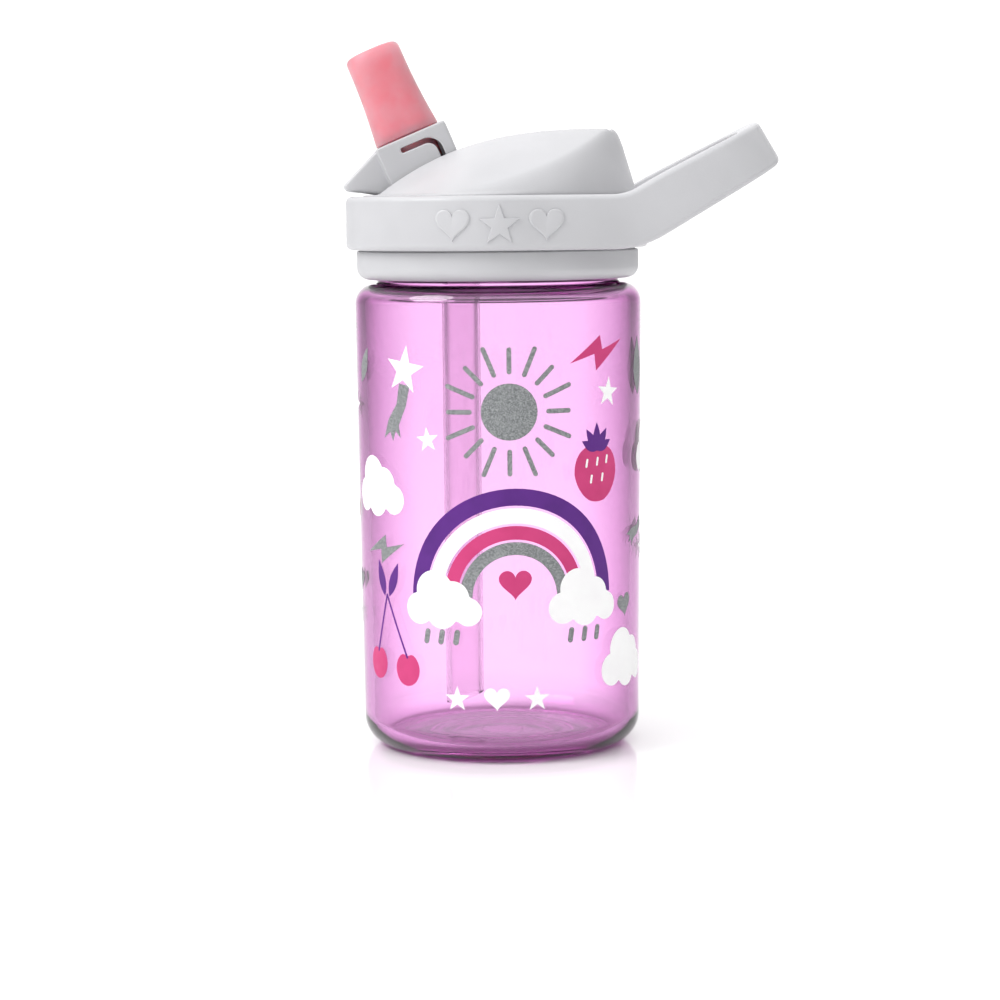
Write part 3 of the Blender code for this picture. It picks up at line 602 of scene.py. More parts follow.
@dataclass(frozen=True)
class MouldedPolypropylene:
    """Light grey polypropylene, injection moulded in a spark-eroded tool: satin, slightly waxy."""

    light: str = "#c4c4c7"
    dark: str = "#bdbdc0"
    grain: float = 0.45 * MM    # drawn coarser than the tool's 0.1 mm grain, so that it shows

    def material(self) -> bpy.types.Material:
        """Make the material."""
        dressing = Dressing("moulded_polypropylene", {
            "IOR": 1.49, "Subsurface Weight": 0.12, "Subsurface Radius": (1.0, 0.95, 0.9),
            "Subsurface Scale": 1.2 * MM, "Specular IOR Level": 0.5})
        # Flow marks shift the grey a little over some centimetres.
        flow = dressing.noise(22.0 * MM)
        dressing.feed("Base Color", dressing.ramp(flow, self.dark, self.light, 0.35, 0.65))
        dressing.feed("Roughness", dressing.spread(dressing.noise(3.0 * MM), 0.36, 0.46))
        # The spark grain breaks up the highlights.
        dressing.feed("Normal", dressing.bump(dressing.noise(self.grain, 3.0), 0.035 * MM, 0.5))
        return dressing.material


@dataclass(frozen=True)
class MouldedSilicone:
    """Liquid silicone rubber, injection moulded: translucent, dull, and deeper in colour where thick."""

    name: str
    light: str
    dark: str
    transmission: float
    depth: float                # how far light spreads inside

    def material(self) -> bpy.types.Material:
        """Make the material."""
        dressing = Dressing(self.name, {
            "IOR": 1.41, "Transmission Weight": self.transmission, "Subsurface Weight": 0.6,
            "Subsurface Radius": (1.0, 0.45, 0.4), "Subsurface Scale": self.depth,
            "Sheen Weight": 0.08, "Sheen Roughness": 0.4})
        # Clouding in the rubber, and an uneven dullness where it has been touched.
        clouds = dressing.noise(5.0 * MM)
        dressing.feed("Base Color", dressing.ramp(clouds, self.dark, self.light, 0.3, 0.6))
        dressing.feed("Roughness", dressing.spread(dressing.noise(1.5 * MM), 0.3, 0.42))
        dressing.feed("Normal", dressing.bump(dressing.noise(2.5 * MM), 0.03 * MM, 0.2))
        return dressing.material


@dataclass(frozen=True)
class ExtrudedPolypropylene:
    """Natural polypropylene, extruded: milky clear, with fine draw lines along the tube."""

    def material(self) -> bpy.types.Material:
        """Make the material."""
        dressing = Dressing("extruded_polypropylene", {
            "Base Color": linear("#fdf4fb"), "IOR": 1.44, "Transmission Weight": 0.96})
        dressing.feed("Roughness", dressing.spread(dressing.noise(4.0 * MM), 0.05, 0.1))
        # Stretched along Z, the noise draws the lines that the die leaves.
        lengths = add_node(dressing.tree, "ShaderNodeMapping", {"Scale": (1.0, 1.0, 0.02)},
                           {"Vector": dressing.place}).outputs["Vector"]
        lines = add_node(dressing.tree, "ShaderNodeTexNoise", {"Scale": per_metre(0.7 * MM)},
                         {"Vector": lengths}).outputs["Fac"]
        dressing.feed("Normal", dressing.bump(lines, 0.02 * MM, 0.5))
        return dressing.material


@dataclass(frozen=True)
class ScreenInk:
    """UV screen ink on plastic: opaque, flat, with the faint tooth of the screen's mesh."""

    name: str
    light: str
    dark: str
    mesh: float = 0.4 * MM      # drawn coarser than the screen's 0.1 mm, so that it shows

    def material(self) -> bpy.types.Material:
        """Make the material."""
        dressing = Dressing(self.name, {"IOR": 1.5, "Specular IOR Level": 0.35})
        cover = dressing.noise(6.0 * MM)
        dressing.feed("Base Color", dressing.ramp(cover, self.dark, self.light, 0.3, 0.6))
        dressing.feed("Roughness", dressing.spread(dressing.noise(2.0 * MM), 0.4, 0.5))
        dressing.feed("Normal", dressing.bump(dressing.noise(self.mesh), 0.01 * MM, 0.3))
        return dressing.material


@dataclass(frozen=True)
class FlakeInk:
    """Silver screen ink: a grey binder full of aluminium flakes, which show as light and dark specks."""

    flake: float = 0.22 * MM    # drawn coarser than real 0.03 mm flakes, so that they show

    def material(self) -> bpy.types.Material:
        """Make the material."""
        dressing = Dressing("silver_flake_ink", {"IOR": 1.5, "Metallic": 0.25})
        flakes = add_node(dressing.tree, "ShaderNodeTexVoronoi", {"Scale": per_metre(self.flake)},
                          {"Vector": dressing.place}).outputs["Color"]
        level = add_node(dressing.tree, "ShaderNodeSeparateColor", links={"Color": flakes}).outputs["Red"]
        dressing.feed("Base Color", dressing.ramp(level, "#6f7274", "#a2a5a6", 0.1, 0.95))
        dressing.feed("Roughness", dressing.spread(dressing.noise(1.0 * MM), 0.4, 0.55))
        dressing.feed("Normal", dressing.bump(level, 0.01 * MM, 0.4))
        return dressing.material


@dataclass(frozen=True)
class StudioBoard:
    """White painted board under the bottle: faint mottling and a low sheen."""

    def material(self) -> bpy.types.Material:
        """Make the material."""
        dressing = Dressing("painted_board", {"IOR": 1.45, "Specular IOR Level": 0.35})
        mottling = dressing.noise(60.0 * MM)
        dressing.feed("Base Color", dressing.ramp(mottling, "#fafafa", "#fdfdfd", 0.3, 0.7))
        dressing.feed("Roughness", dressing.spread(dressing.noise(20.0 * MM), 0.05, 0.08))
        return dressing.material


@dataclass(frozen=True)
class Finishes:
    """The materials that the pieces are dressed in."""

    clear_body: bpy.types.Material
    cap_plastic: bpy.types.Material
    bite_silicone: bpy.types.Material
    clear_silicone: bpy.types.Material
    straw_plastic: bpy.types.Material

    @classmethod
    def make(cls) -> "Finishes":
        """Make every material once."""
        clear_silicone = MouldedSilicone("clear_silicone", "#e9e9e9", "#dedede", 0.3, 2.0 * MM)
        return cls(
            clear_body=BlownCopolyester().material(),
            cap_plastic=MouldedPolypropylene().material(),
            bite_silicone=MouldedSilicone("pink_silicone", "#ffb4c0", "#ffa2b0", 0.5, 2.0 * MM).material(),
            clear_silicone=clear_silicone.material(),
            straw_plastic=ExtrudedPolypropylene().material(),
        )


def finish_piece(name: str, mesh: bpy.types.Mesh, material: bpy.types.Material, body: str,
                 node: Optional[str] = None,
                 sharp: float = 35.0) -> bpy.types.Object:
    """Put a piece in the scene, dress it, and let it ride on its body.

    Args:
        name: The piece's name.
        mesh: Its mesh, in place.
        material: Its material.
        body: The body that it rides on.
        node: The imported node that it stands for.
        sharp: Edges sharper than this many degrees stay crisp.

    Returns:
        The piece.
    """
    mesh.materials.clear()
    mesh.materials.append(material)
    mesh.shade_smooth()
    mesh.set_sharp_from_angle(angle=math.radians(sharp))
    piece = shown(name, mesh)
    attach(piece, body)
    if node is not None:
        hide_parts(node)
    LOG.info("%s: %d faces on body %s", name, len(mesh.polygons), body)
    return piece


# ---------------------------------------------------------------- bottle

@dataclass
class Bottle:
    """The blown bottle: floor, heel, tapered wall, shoulder and threaded neck."""

    levels: Levels
    foot_radius: float = 35.5 * MM
    heel: float = 7.3 * MM
    shoulder: float = 5.0 * MM
    wall: float = 2.5 * MM
    floor: float = 2.2 * MM
    recess: float = 1.0 * MM
    foot_ring: float = 2.7 * MM
    gate: float = 5.0 * MM
    neck_radius: float = 30.8 * MM
    neck_wall: float = 2.8 * MM
    neck_height: float = 10.6 * MM
    rim: float = 0.6 * MM
    thread_turns: float = 1.25
    ridge_width: float = 0.5 * MM       # half the width of a moulded ridge under the base
    ridge_depth: float = 0.35 * MM

    @property
    def top(self) -> float:
        """Return the shoulder's height."""
        return self.levels.neck_top - self.neck_height

    def wall_radius(self, height: float) -> float:
        """Return the outside radius of the tapered wall at a height."""
        low = self.heel
        high = self.top - self.shoulder
        return blend(self.foot_radius, self.levels.body_radius, (height - low) / (high - low))

    def profile(self) -> list[Point2]:
        """Return the section: inner floor and wall, rim, outer wall and base."""
        floor_top = self.recess + self.floor
        inner_heel = self.heel - self.wall
        inner_shoulder = self.shoulder - self.wall
        inner_foot = self.foot_radius - self.wall
        shoulder_x = self.levels.body_radius - self.shoulder
        shoulder_z = self.top - self.shoulder
        foot = self.foot_radius - self.heel
        ring_inside = foot - self.foot_ring
        bore = self.neck_radius - self.neck_wall
        neck_top = self.levels.neck_top
        points = [(0.0, floor_top), (self.gate, floor_top)]
        points += arc((inner_foot - inner_heel, floor_top + inner_heel), inner_heel, -90, 0, 18)
        points += arc((shoulder_x, shoulder_z), inner_shoulder, 0, 90, 10)
        points += arc((bore + self.rim, self.top - self.wall + self.rim), self.rim, 270, 180, 4)
        points += arc((bore + self.rim, neck_top - self.rim), self.rim, 180, 90, 6)
        points += arc((self.neck_radius - self.rim, neck_top - self.rim), self.rim, 90, 0, 6)
        points += arc((self.neck_radius + self.rim, self.top + self.rim), self.rim, 180, 270, 4)
        points += arc((shoulder_x, shoulder_z), self.shoulder, 90, 0, 14)
        points += arc((foot, self.heel), self.heel, 0, -90, 24)
        points += [(ring_inside, 0.0)]
        points += arc((ring_inside - self.recess, 0.0), self.recess, 0, 90, 6)
        points += self.base_rings(ring_inside - 2 * self.recess)
        points += [(self.gate + self.recess, self.recess), (self.gate, 0.0), (0.0, 0.0)]
        return points

    def base_rings(self, start: float) -> list[Point2]:
        """Return two shallow moulded ridges under the base, going inwards from a radius."""
        points = []
        for share in (0.25, 0.6):
            middle = blend(start, self.gate + 2 * self.recess, share)
            points += [(middle + self.ridge_width, self.recess), (middle, self.recess - self.ridge_depth),
                       (middle - self.ridge_width, self.recess)]
        return points

    def build(self, finishes: Finishes) -> bpy.types.Object:
        """Build and dress the bottle."""
        shell = turned("bottle_shell", self.profile(), ROUND_STEPS)
        crest = self.neck_radius + THREAD_DEPTH
        top = self.levels.neck_top - THREAD_RUN_IN
        screw = thread("neck_thread", self.neck_radius, crest, top, self.thread_turns)
        shell = combined(shell, screw, Joining.UNION)
        return finish_piece("bottle_shell", shell, finishes.clear_body, "bottle",
                            "bottle_body")


# ---------------------------------------------------------------- print

class Ink(Enum):
    """The inks of the print, by the name of the piece that holds each one."""

    WHITE = "print_white"
    SILVER = "print_silver"
    MAGENTA = "print_magenta"
    PURPLE = "print_purple"


@dataclass(frozen=True)
class Motif:
    """One flat printed shape, in millimetres round the wall from the front's middle, and up."""

    ink: Ink
    outline: tuple[Point2, ...]
    layer: int = 0


def placed(points: Sequence[Point2], centre: Point2, turn: float = 0.0,
           size: float = 1.0) -> tuple[Point2, ...]:
    """Scale, turn and move an outline.

    Args:
        points: The outline about its own centre.
        centre: Where its centre goes.
        turn: Degrees, anticlockwise.
        size: Scale.

    Returns:
        The outline in its place.
    """
    cosine = math.cos(math.radians(turn)) * size
    sine = math.sin(math.radians(turn)) * size
    return tuple((centre[0] + x * cosine - y * sine, centre[1] + x * sine + y * cosine) for x, y in points)


def bar(start: Point2, end: Point2, width: float, end_width: Optional[float] = None) -> tuple[Point2, ...]:
    """Return a straight stroke with round ends.

    Args:
        start: Centre of its first end.
        end: Centre of its last end.
        width: Width at the start.
        end_width: Width at the end, if it differs.

    Returns:
        The outline.
    """
    last = width if end_width is None else end_width
    heading = math.degrees(math.atan2(end[1] - start[1], end[0] - start[0]))
    return tuple(arc(start, width / 2, heading + 90, heading + 270, 8)
                 + arc(end, last / 2, heading - 90, heading + 90, 8))


def star(centre: Point2, reach: float, turn: float = 0.0, waist: float = 0.4) -> tuple[Point2, ...]:
    """Return a five-pointed star.

    Args:
        centre: Its centre.
        reach: Radius of its points.
        turn: Degrees, anticlockwise.
        waist: Radius of its inner corners, as a share of the reach.

    Returns:
        The outline.
    """
    points = []
    for index in range(10):
        radius = reach if index % 2 == 0 else reach * waist
        angle = math.radians(90 + turn + 36 * index)
        points.append((centre[0] + radius * math.cos(angle), centre[1] + radius * math.sin(angle)))
    return tuple(points)


def heart(centre: Point2, width: float, turn: float = 0.0) -> tuple[Point2, ...]:
    """Return a heart from the usual sum of cosines.

    Args:
        centre: Its centre.
        width: Its width.
        turn: Degrees, anticlockwise.

    Returns:
        The outline.
    """
    points = []
    for step in range(48):
        t = 2 * math.pi * (step + 0.5) / 48
        height = 13 * math.cos(t) - 5 * math.cos(2 * t) - 2 * math.cos(3 * t) - math.cos(4 * t)
        points.append((16 * math.sin(t) ** 3, height + 2.5))
    return placed(points, centre, turn, width / 32)


def cloud(centre: Point2, width: float) -> tuple[Point2, ...]:
    """Return a cloud: the outline round five puffs.

    Args:
        centre: Its centre.
        width: Its width.

    Returns:
        The outline.
    """
    puffs = ((-0.3, -0.12, 0.19), (-0.1, 0.1, 0.24), (0.14, 0.02, 0.2),
             (0.32, -0.14, 0.17), (0.0, -0.15, 0.2))       # each one's place and radius
    points = []
    for step in range(96):
        angle = 2 * math.pi * step / 96
        heading = Vector((math.cos(angle), math.sin(angle)))
        reach = 0.0
        for x, y, radius in puffs:
            along = heading.x * x + heading.y * y
            spare = radius * radius - (x * x + y * y - along * along)
            if spare > 0.0:
                reach = max(reach, along + math.sqrt(spare))
        points.append((heading.x * reach, heading.y * reach))
    return placed(points, centre, 0.0, width)


def leaf(root: Point2, length: float, width: float, turn: float) -> tuple[Point2, ...]:
    """Return a pointed leaf that grows from its root.

    Args:
        root: Where it grows from.
        length: Its length.
        width: Its width.
        turn: Its heading in degrees from straight up, anticlockwise.

    Returns:
        The outline.
    """
    steps = 10
    side = [(width / 2 * math.sin(math.pi * (step / steps) ** 0.85), length * step / steps)
            for step in range(steps + 1)]
    other = [(-x, y) for x, y in reversed(side[1:-1])]
    return placed(side + other, root, turn)


def bolt(centre: Point2, size: float, turn: float = 0.0) -> tuple[Point2, ...]:
    """Return a zigzag bolt, about two and a half times as long as it is high."""
    points = ((-1.3, -0.25), (0.12, 0.62), (0.2, 0.1), (1.3, 0.36), (-0.16, -0.62), (-0.2, -0.02))
    return placed(points, centre, turn, size)


def arch(centre: Point2, inner: float, outer: float) -> tuple[Point2, ...]:
    """Return one half-round stripe of a rainbow."""
    return tuple(arc(centre, outer, 0, 180, 40) + arc(centre, inner, 180, 0, 40))


def comet_tail(head: Point2, tip: Point2) -> tuple[Point2, ...]:
    """Return a swept tail with three ragged ends.

    Args:
        head: Where it leaves the star.
        tip: The middle of its far end.

    Returns:
        The outline.
    """
    run = math.dist(head, tip)
    turn = math.degrees(math.atan2(tip[1] - head[1], tip[0] - head[0]))
    points = ((0.0, 0.13), (0.35, 0.17), (0.72, 0.13), (0.9, 0.24), (0.84, 0.09), (1.02, 0.09),
              (0.9, -0.03), (1.06, -0.14), (0.72, -0.14), (0.4, -0.04), (0.05, -0.1))
    return placed(points, head, turn, run)


@dataclass
class Print:
    """The screen print round the bottle's front: sky, fruit and a rainbow, in four inks."""

    bottle: Bottle
    lift: float = 0.03 * MM         # off the wall
    thickness: float = 0.05 * MM
    facet: float = 2.0              # widest flat step round the wall, in millimetres

    def sun(self) -> list[Motif]:
        """Return the sun and its rays."""
        centre = (2.5, 87.8)
        motifs = [Motif(Ink.SILVER, tuple(arc(centre, 7.0, 0, 352.5, 47)))]
        for index in range(16):
            angle = math.radians(90 + 22.5 * index)
            start, end = ((centre[0] + reach * math.cos(angle), centre[1] + reach * math.sin(angle))
                          for reach in (9.8, 15.2 + 1.4 * (index % 2)))
            motifs.append(Motif(Ink.SILVER, bar(start, end, 1.2)))
        return motifs

    def stars(self) -> list[Motif]:
        """Return the stars and the comet."""
        motifs = [Motif(Ink.WHITE, star((-25.3, 97.8), 6.2, -8.0), 1),
                  Motif(Ink.SILVER, comet_tail((-25.4, 94.6), (-30.6, 80.8)))]
        for centre, reach, turn in (((-18.5, 80.8), 3.2, 6.0), ((30.4, 91.7), 3.9, -6.0),
                                    ((-12.5, 39.6), 3.7, 4.0), ((52.0, 51.0), 3.6, 10.0),
                                    ((-52.0, 88.0), 3.8, -12.0), ((-56.0, 34.0), 3.4, 8.0)):
            motifs.append(Motif(Ink.WHITE, star(centre, reach, turn)))
        return motifs

    def sky(self) -> list[Motif]:
        """Return the bolts, clouds and small hearts."""
        motifs = [Motif(Ink.MAGENTA, bolt((27.0, 101.6), 6.9, 4.0)),
                  Motif(Ink.SILVER, bolt((-34.0, 52.6), 6.0, -2.0))]
        for centre, width in (((-36.8, 68.4), 22.0), ((38.4, 24.4), 22.0), ((56.0, 76.5), 20.0)):
            motifs.append(Motif(Ink.WHITE, cloud(centre, width)))
        for centre, width, turn in (((37.5, 37.4), 6.4, 8.0), ((-50.5, 43.0), 6.0, -10.0)):
            motifs.append(Motif(Ink.SILVER, heart(centre, width, turn)))
        motifs.append(Motif(Ink.SILVER, leaf((47.5, 90.0), 15.0, 7.0, 4.0)))
        motifs.append(Motif(Ink.SILVER, comet_tail((50.5, 58.0), (40.0, 54.0))))
        motifs.append(Motif(Ink.SILVER, leaf((-45.5, 94.0), 10.0, 4.0, -28.0)))
        motifs.append(Motif(Ink.MAGENTA, heart((-58.0, 60.0), 7.0, 10.0)))
        return motifs

    def berry(self) -> list[Motif]:
        """Return the berry with its leaves and seeds."""
        centre = (26.3, 71.8)
        body = []
        for step in range(48):
            angle = 2 * math.pi * step / 48
            width = 7.0 - 1.7 * max(-math.sin(angle), 0.0)
            body.append((width * math.copysign(abs(math.cos(angle)) ** 0.8, math.cos(angle)),
                         7.1 * math.copysign(abs(math.sin(angle)) ** 0.85, math.sin(angle))))
        motifs = [Motif(Ink.MAGENTA, placed(body, centre))]
        for turn, length in ((62.0, 5.4), (32.0, 6.4), (0.0, 7.0), (-32.0, 6.4), (-62.0, 5.4)):
            motifs.append(Motif(Ink.PURPLE, leaf((centre[0], centre[1] + 5.6), length, 2.4, turn), 1))
        for x, y in ((-3.3, 2.6), (0.1, 2.9), (3.4, 3.3), (-1.9, -1.4), (1.8, -1.1)):
            low = (centre[0] + x - 0.15, centre[1] + y - 0.8)
            high = (centre[0] + x + 0.15, centre[1] + y + 0.8)
            motifs.append(Motif(Ink.WHITE, bar(low, high, 0.6), 1))
        return motifs

    def cherries(self) -> list[Motif]:
        """Return the two cherries, their stalks and leaves."""
        join = (-32.8, 41.2)
        fruit = []
        for step in range(40):
            across = math.cos(2 * math.pi * step / 40)
            up = math.sin(2 * math.pi * step / 40)
            dimple = 0.8 * math.exp(-(across / 0.3) ** 2) * max(up, 0.0)
            fruit.append((3.9 * across, 4.2 * up - dimple))
        motifs = []
        for centre in ((-37.2, 23.6), (-25.6, 23.0)):
            motifs.append(Motif(Ink.MAGENTA, placed(fruit, centre)))
            motifs.append(Motif(Ink.PURPLE, bar((centre[0], centre[1] + 3.0), join, 0.55), 1))
        for offset, turn in ((-0.9, 17.0), (0.9, -22.0)):
            motifs.append(Motif(Ink.PURPLE, leaf((join[0] + offset, join[1] - 0.4), 9.4, 2.9, turn), 1))
        return motifs

    def rainbow(self) -> list[Motif]:
        """Return the rainbow in the middle with its clouds, a heart and drops."""
        centre = (3.6, 42.0)
        stripes = ((Ink.PURPLE, 22.8, 27.0), (Ink.WHITE, 18.4, 22.2), (Ink.MAGENTA, 14.4, 17.8),
                   (Ink.SILVER, 10.6, 13.8))
        motifs = [Motif(ink, arch(centre, inner, outer)) for ink, inner, outer in stripes]
        for side in (-1, 1):
            foot = (centre[0] + side * 18.6, centre[1] - 0.6)
            motifs.append(Motif(Ink.WHITE, cloud(foot, 21.0), 1))
            for offset in (-4.0, 0.0, 4.0):
                top = (foot[0] + offset, foot[1] - 8.2)
                motifs.append(Motif(Ink.SILVER, bar((top[0] - 0.4, top[1] - 2.4), top, 1.5)))
        motifs.append(Motif(Ink.MAGENTA, heart((centre[0], centre[1] + 3.0), 8.2)))
        return motifs

    def foot_row(self) -> list[Motif]:
        """Return the small row of shapes near the base."""
        motifs = []
        for centre, reach in (((-11.2, 16.6), 3.3), ((8.8, 16.6), 3.3)):
            motifs.append(Motif(Ink.WHITE, star(centre, reach)))
        motifs.append(Motif(Ink.WHITE, heart((-1.2, 16.6), 6.4)))
        return motifs

    def motifs(self) -> list[Motif]:
        """Return every printed shape."""
        return (self.sun() + self.stars() + self.sky() + self.berry() + self.cherries()
                + self.rainbow() + self.foot_row())

    def wrap(self, shape: bmesh.types.BMesh, motif: Motif) -> None:
        """Add one motif to a bmesh as a thin solid wrapped on the wall.

        Args:
            shape: The bmesh that holds the ink's solids.
            motif: The motif.
        """
        flat = bmesh.new()
        flat.faces.new([flat.verts.new((x, 0.0, y)) for x, y in motif.outline])
        flat.normal_update()
        bmesh.ops.triangulate(flat, faces=flat.faces[:])
        low = min(x for x, _ in motif.outline)
        high = max(x for x, _ in motif.outline)
        for line in range(math.ceil(low / self.facet), math.ceil(high / self.facet)):
            everything = flat.verts[:] + flat.edges[:] + flat.faces[:]
            bmesh.ops.bisect_plane(flat, geom=everything, dist=MERGE, plane_co=(line * self.facet, 0, 0),
                                   plane_no=(1, 0, 0))
        flat.verts.index_update()
        base = self.lift + motif.layer * self.thickness
        layers = []
        for depth in (base, base + self.thickness):
            layer = []
            for vertex in flat.verts:
                height = vertex.co.z * MM
                wall = self.bottle.wall_radius(height)
                angle = vertex.co.x * MM / wall
                radius = wall + depth
                layer.append(shape.verts.new((radius * math.sin(angle), -radius * math.cos(angle), height)))
            layers.append(layer)
        for face in flat.faces:
            for layer in layers:
                shape.faces.new([layer[vertex.index] for vertex in face.verts])
        for edge in flat.edges:
            if edge.is_boundary:
                first, second = (vertex.index for vertex in edge.verts)
                shape.faces.new([layers[0][first], layers[0][second], layers[1][second], layers[1][first]])
        flat.free()

    def build(self) -> list[bpy.types.Object]:
        """Build and dress one piece for each ink."""
        materials = {
            Ink.WHITE: ScreenInk("white_screen_ink", "#ffffff", "#fbfafb").material(),
            Ink.SILVER: FlakeInk().material(),
            Ink.MAGENTA: ScreenInk("magenta_screen_ink", "#d0407c", "#c83a75").material(),
            Ink.PURPLE: ScreenInk("purple_screen_ink", "#5c2484", "#541f7b").material(),
        }
        pieces = []
        motifs = self.motifs()
        for ink, material in materials.items():
            shape = bmesh.new()
            for motif in motifs:
                if motif.ink is ink:
                    self.wrap(shape, motif)
            bmesh.ops.recalc_face_normals(shape, faces=shape.faces)
            mesh = bpy.data.meshes.new(ink.value)
            shape.to_mesh(mesh)
            shape.free()
            pieces.append(finish_piece(ink.value, mesh, material, "bottle"))
        return pieces


# ---------------------------------------------------------------- cap

@dataclass
class CapBody:
    """The screw cap under the dome: skirt, deck, thread, straw nozzle and seal recess."""

    levels: Levels
    skirt_wall: float = 3.2 * MM
    skirt_showing: float = 7.5 * MM
    skirt_round: float = 3.0 * MM
    edge: float = 0.4 * MM
    deck: float = 2.6 * MM
    upper_wall: float = 1.9 * MM
    snap_depth: float = 0.8 * MM
    boss_height: float = 4.5 * MM
    boss_wall: float = 2.6 * MM
    duct: float = 2.3 * MM
    nozzle_length: float = 8.5 * MM
    nozzle_bore: float = 2.1 * MM
    seal_recess: float = 1.2 * MM
    seal_hole: float = 5.0 * MM
    vent_hole: float = 1.5 * MM
    thread_turns: float = 0.75
    thread_relief: float = 0.1 * MM

    @property
    def deck_bottom(self) -> float:
        """Return the deck's underside."""
        return self.levels.deck_top - self.deck

    def profile(self) -> list[Point2]:
        """Return the section: deck top, upper wall, skirt and deck underside."""
        outer = self.levels.skirt_radius
        bore = outer - self.skirt_wall
        top = self.levels.upper_wall_top
        inner = outer - self.upper_wall
        edge = self.edge
        snap_top = self.levels.band_bottom + SNAP_HEIGHT + GAP
        snap_bottom = self.levels.band_bottom - GAP
        skirt_bottom = self.levels.band_bottom - self.skirt_showing
        points = [(0.0, self.levels.deck_top)]
        points += arc((inner - edge, self.levels.deck_top + edge), edge, -90, 0, 3)
        points += [(inner, top), (outer - edge, top), (outer, top - edge), (outer, snap_top),
                   (outer - self.snap_depth, snap_top), (outer - self.snap_depth, snap_bottom)]
        points += arc((outer - edge, snap_bottom - edge), edge, 90, 0, 4)
        corner = (outer - self.skirt_round, skirt_bottom + self.skirt_round)
        points += arc(corner, self.skirt_round, 0, -82, 14)
        points += [(bore, skirt_bottom + edge), (bore, self.deck_bottom), (0.0, self.deck_bottom)]
        return points

    def boss(self) -> bpy.types.Mesh:
        """Return the oval boss under the deck that holds the slanting duct."""
        straw_x = (self.levels.straw_low.x + self.levels.straw_high.x) / 2
        middle = (self.levels.pivot.x + straw_x) / 2
        half_x = abs(self.levels.pivot.x - straw_x) / 2 + self.duct + self.boss_wall
        half_y = self.duct + self.boss_wall
        levels = (self.deck_bottom - self.boss_height, self.deck_bottom + self.deck / 2)
        mesh = skin("boss", [oval(half_x, half_y, level, 2.0) for level in levels])
        mesh.transform(Matrix.Translation((middle, 0.0, 0.0)))
        return mesh

    def build(self, finishes: Finishes) -> bpy.types.Object:
        """Build and dress the cap body."""
        levels = self.levels
        straw_x = (levels.straw_low.x + levels.straw_high.x) / 2
        straw_bore = (levels.straw_high.x - levels.straw_low.x) / 2 - STRAW_WALL
        bore = levels.skirt_radius - self.skirt_wall
        boss_bottom = self.deck_bottom - self.boss_height
        nozzle_bottom = boss_bottom - self.nozzle_length
        duct_end = (straw_x, 0.0, boss_bottom + self.duct)
        pivot_x = levels.pivot.x
        mesh = turned("cap_shell", self.profile(), ROUND_STEPS)
        crest = bore - THREAD_DEPTH - self.thread_relief
        top = levels.neck_top - THREAD_RUN_IN - THREAD_PITCH / 2
        screw = thread("cap_thread", bore, crest, top, self.thread_turns)
        nozzle = rod("nozzle", straw_bore - GAP, (straw_x, 0.0, nozzle_bottom),
                     (straw_x, 0.0, boss_bottom + PAST))
        for part in (screw, self.boss(), nozzle):
            mesh = combined(mesh, part, Joining.UNION)
        cuts = (
            rod("nozzle_bore", self.nozzle_bore, (straw_x, 0.0, nozzle_bottom - PAST), duct_end),
            rod("duct", self.duct, (pivot_x, 0.0, levels.deck_top), duct_end),
            rod("recess", self.seal_hole, (pivot_x, 0.0, levels.deck_top - self.seal_recess),
                (pivot_x, 0.0, levels.deck_top + PAST)),
            self.vent_bore(),
        )
        for part in cuts:
            mesh = combined(mesh, part, Joining.DIFFERENCE)
        return finish_piece("cap_shell", mesh, finishes.cap_plastic, "cap", "cap_body")

    def vent_bore(self) -> bpy.types.Mesh:
        """Return the cutter for the hole that the vent valve's stem passes."""
        low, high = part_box("vent_valve")
        centre = (low + high) / 2
        return rod("vent_bore", self.vent_hole, (centre.x, centre.y, self.deck_bottom - PAST),
                   (centre.x, centre.y, self.levels.deck_top + PAST))


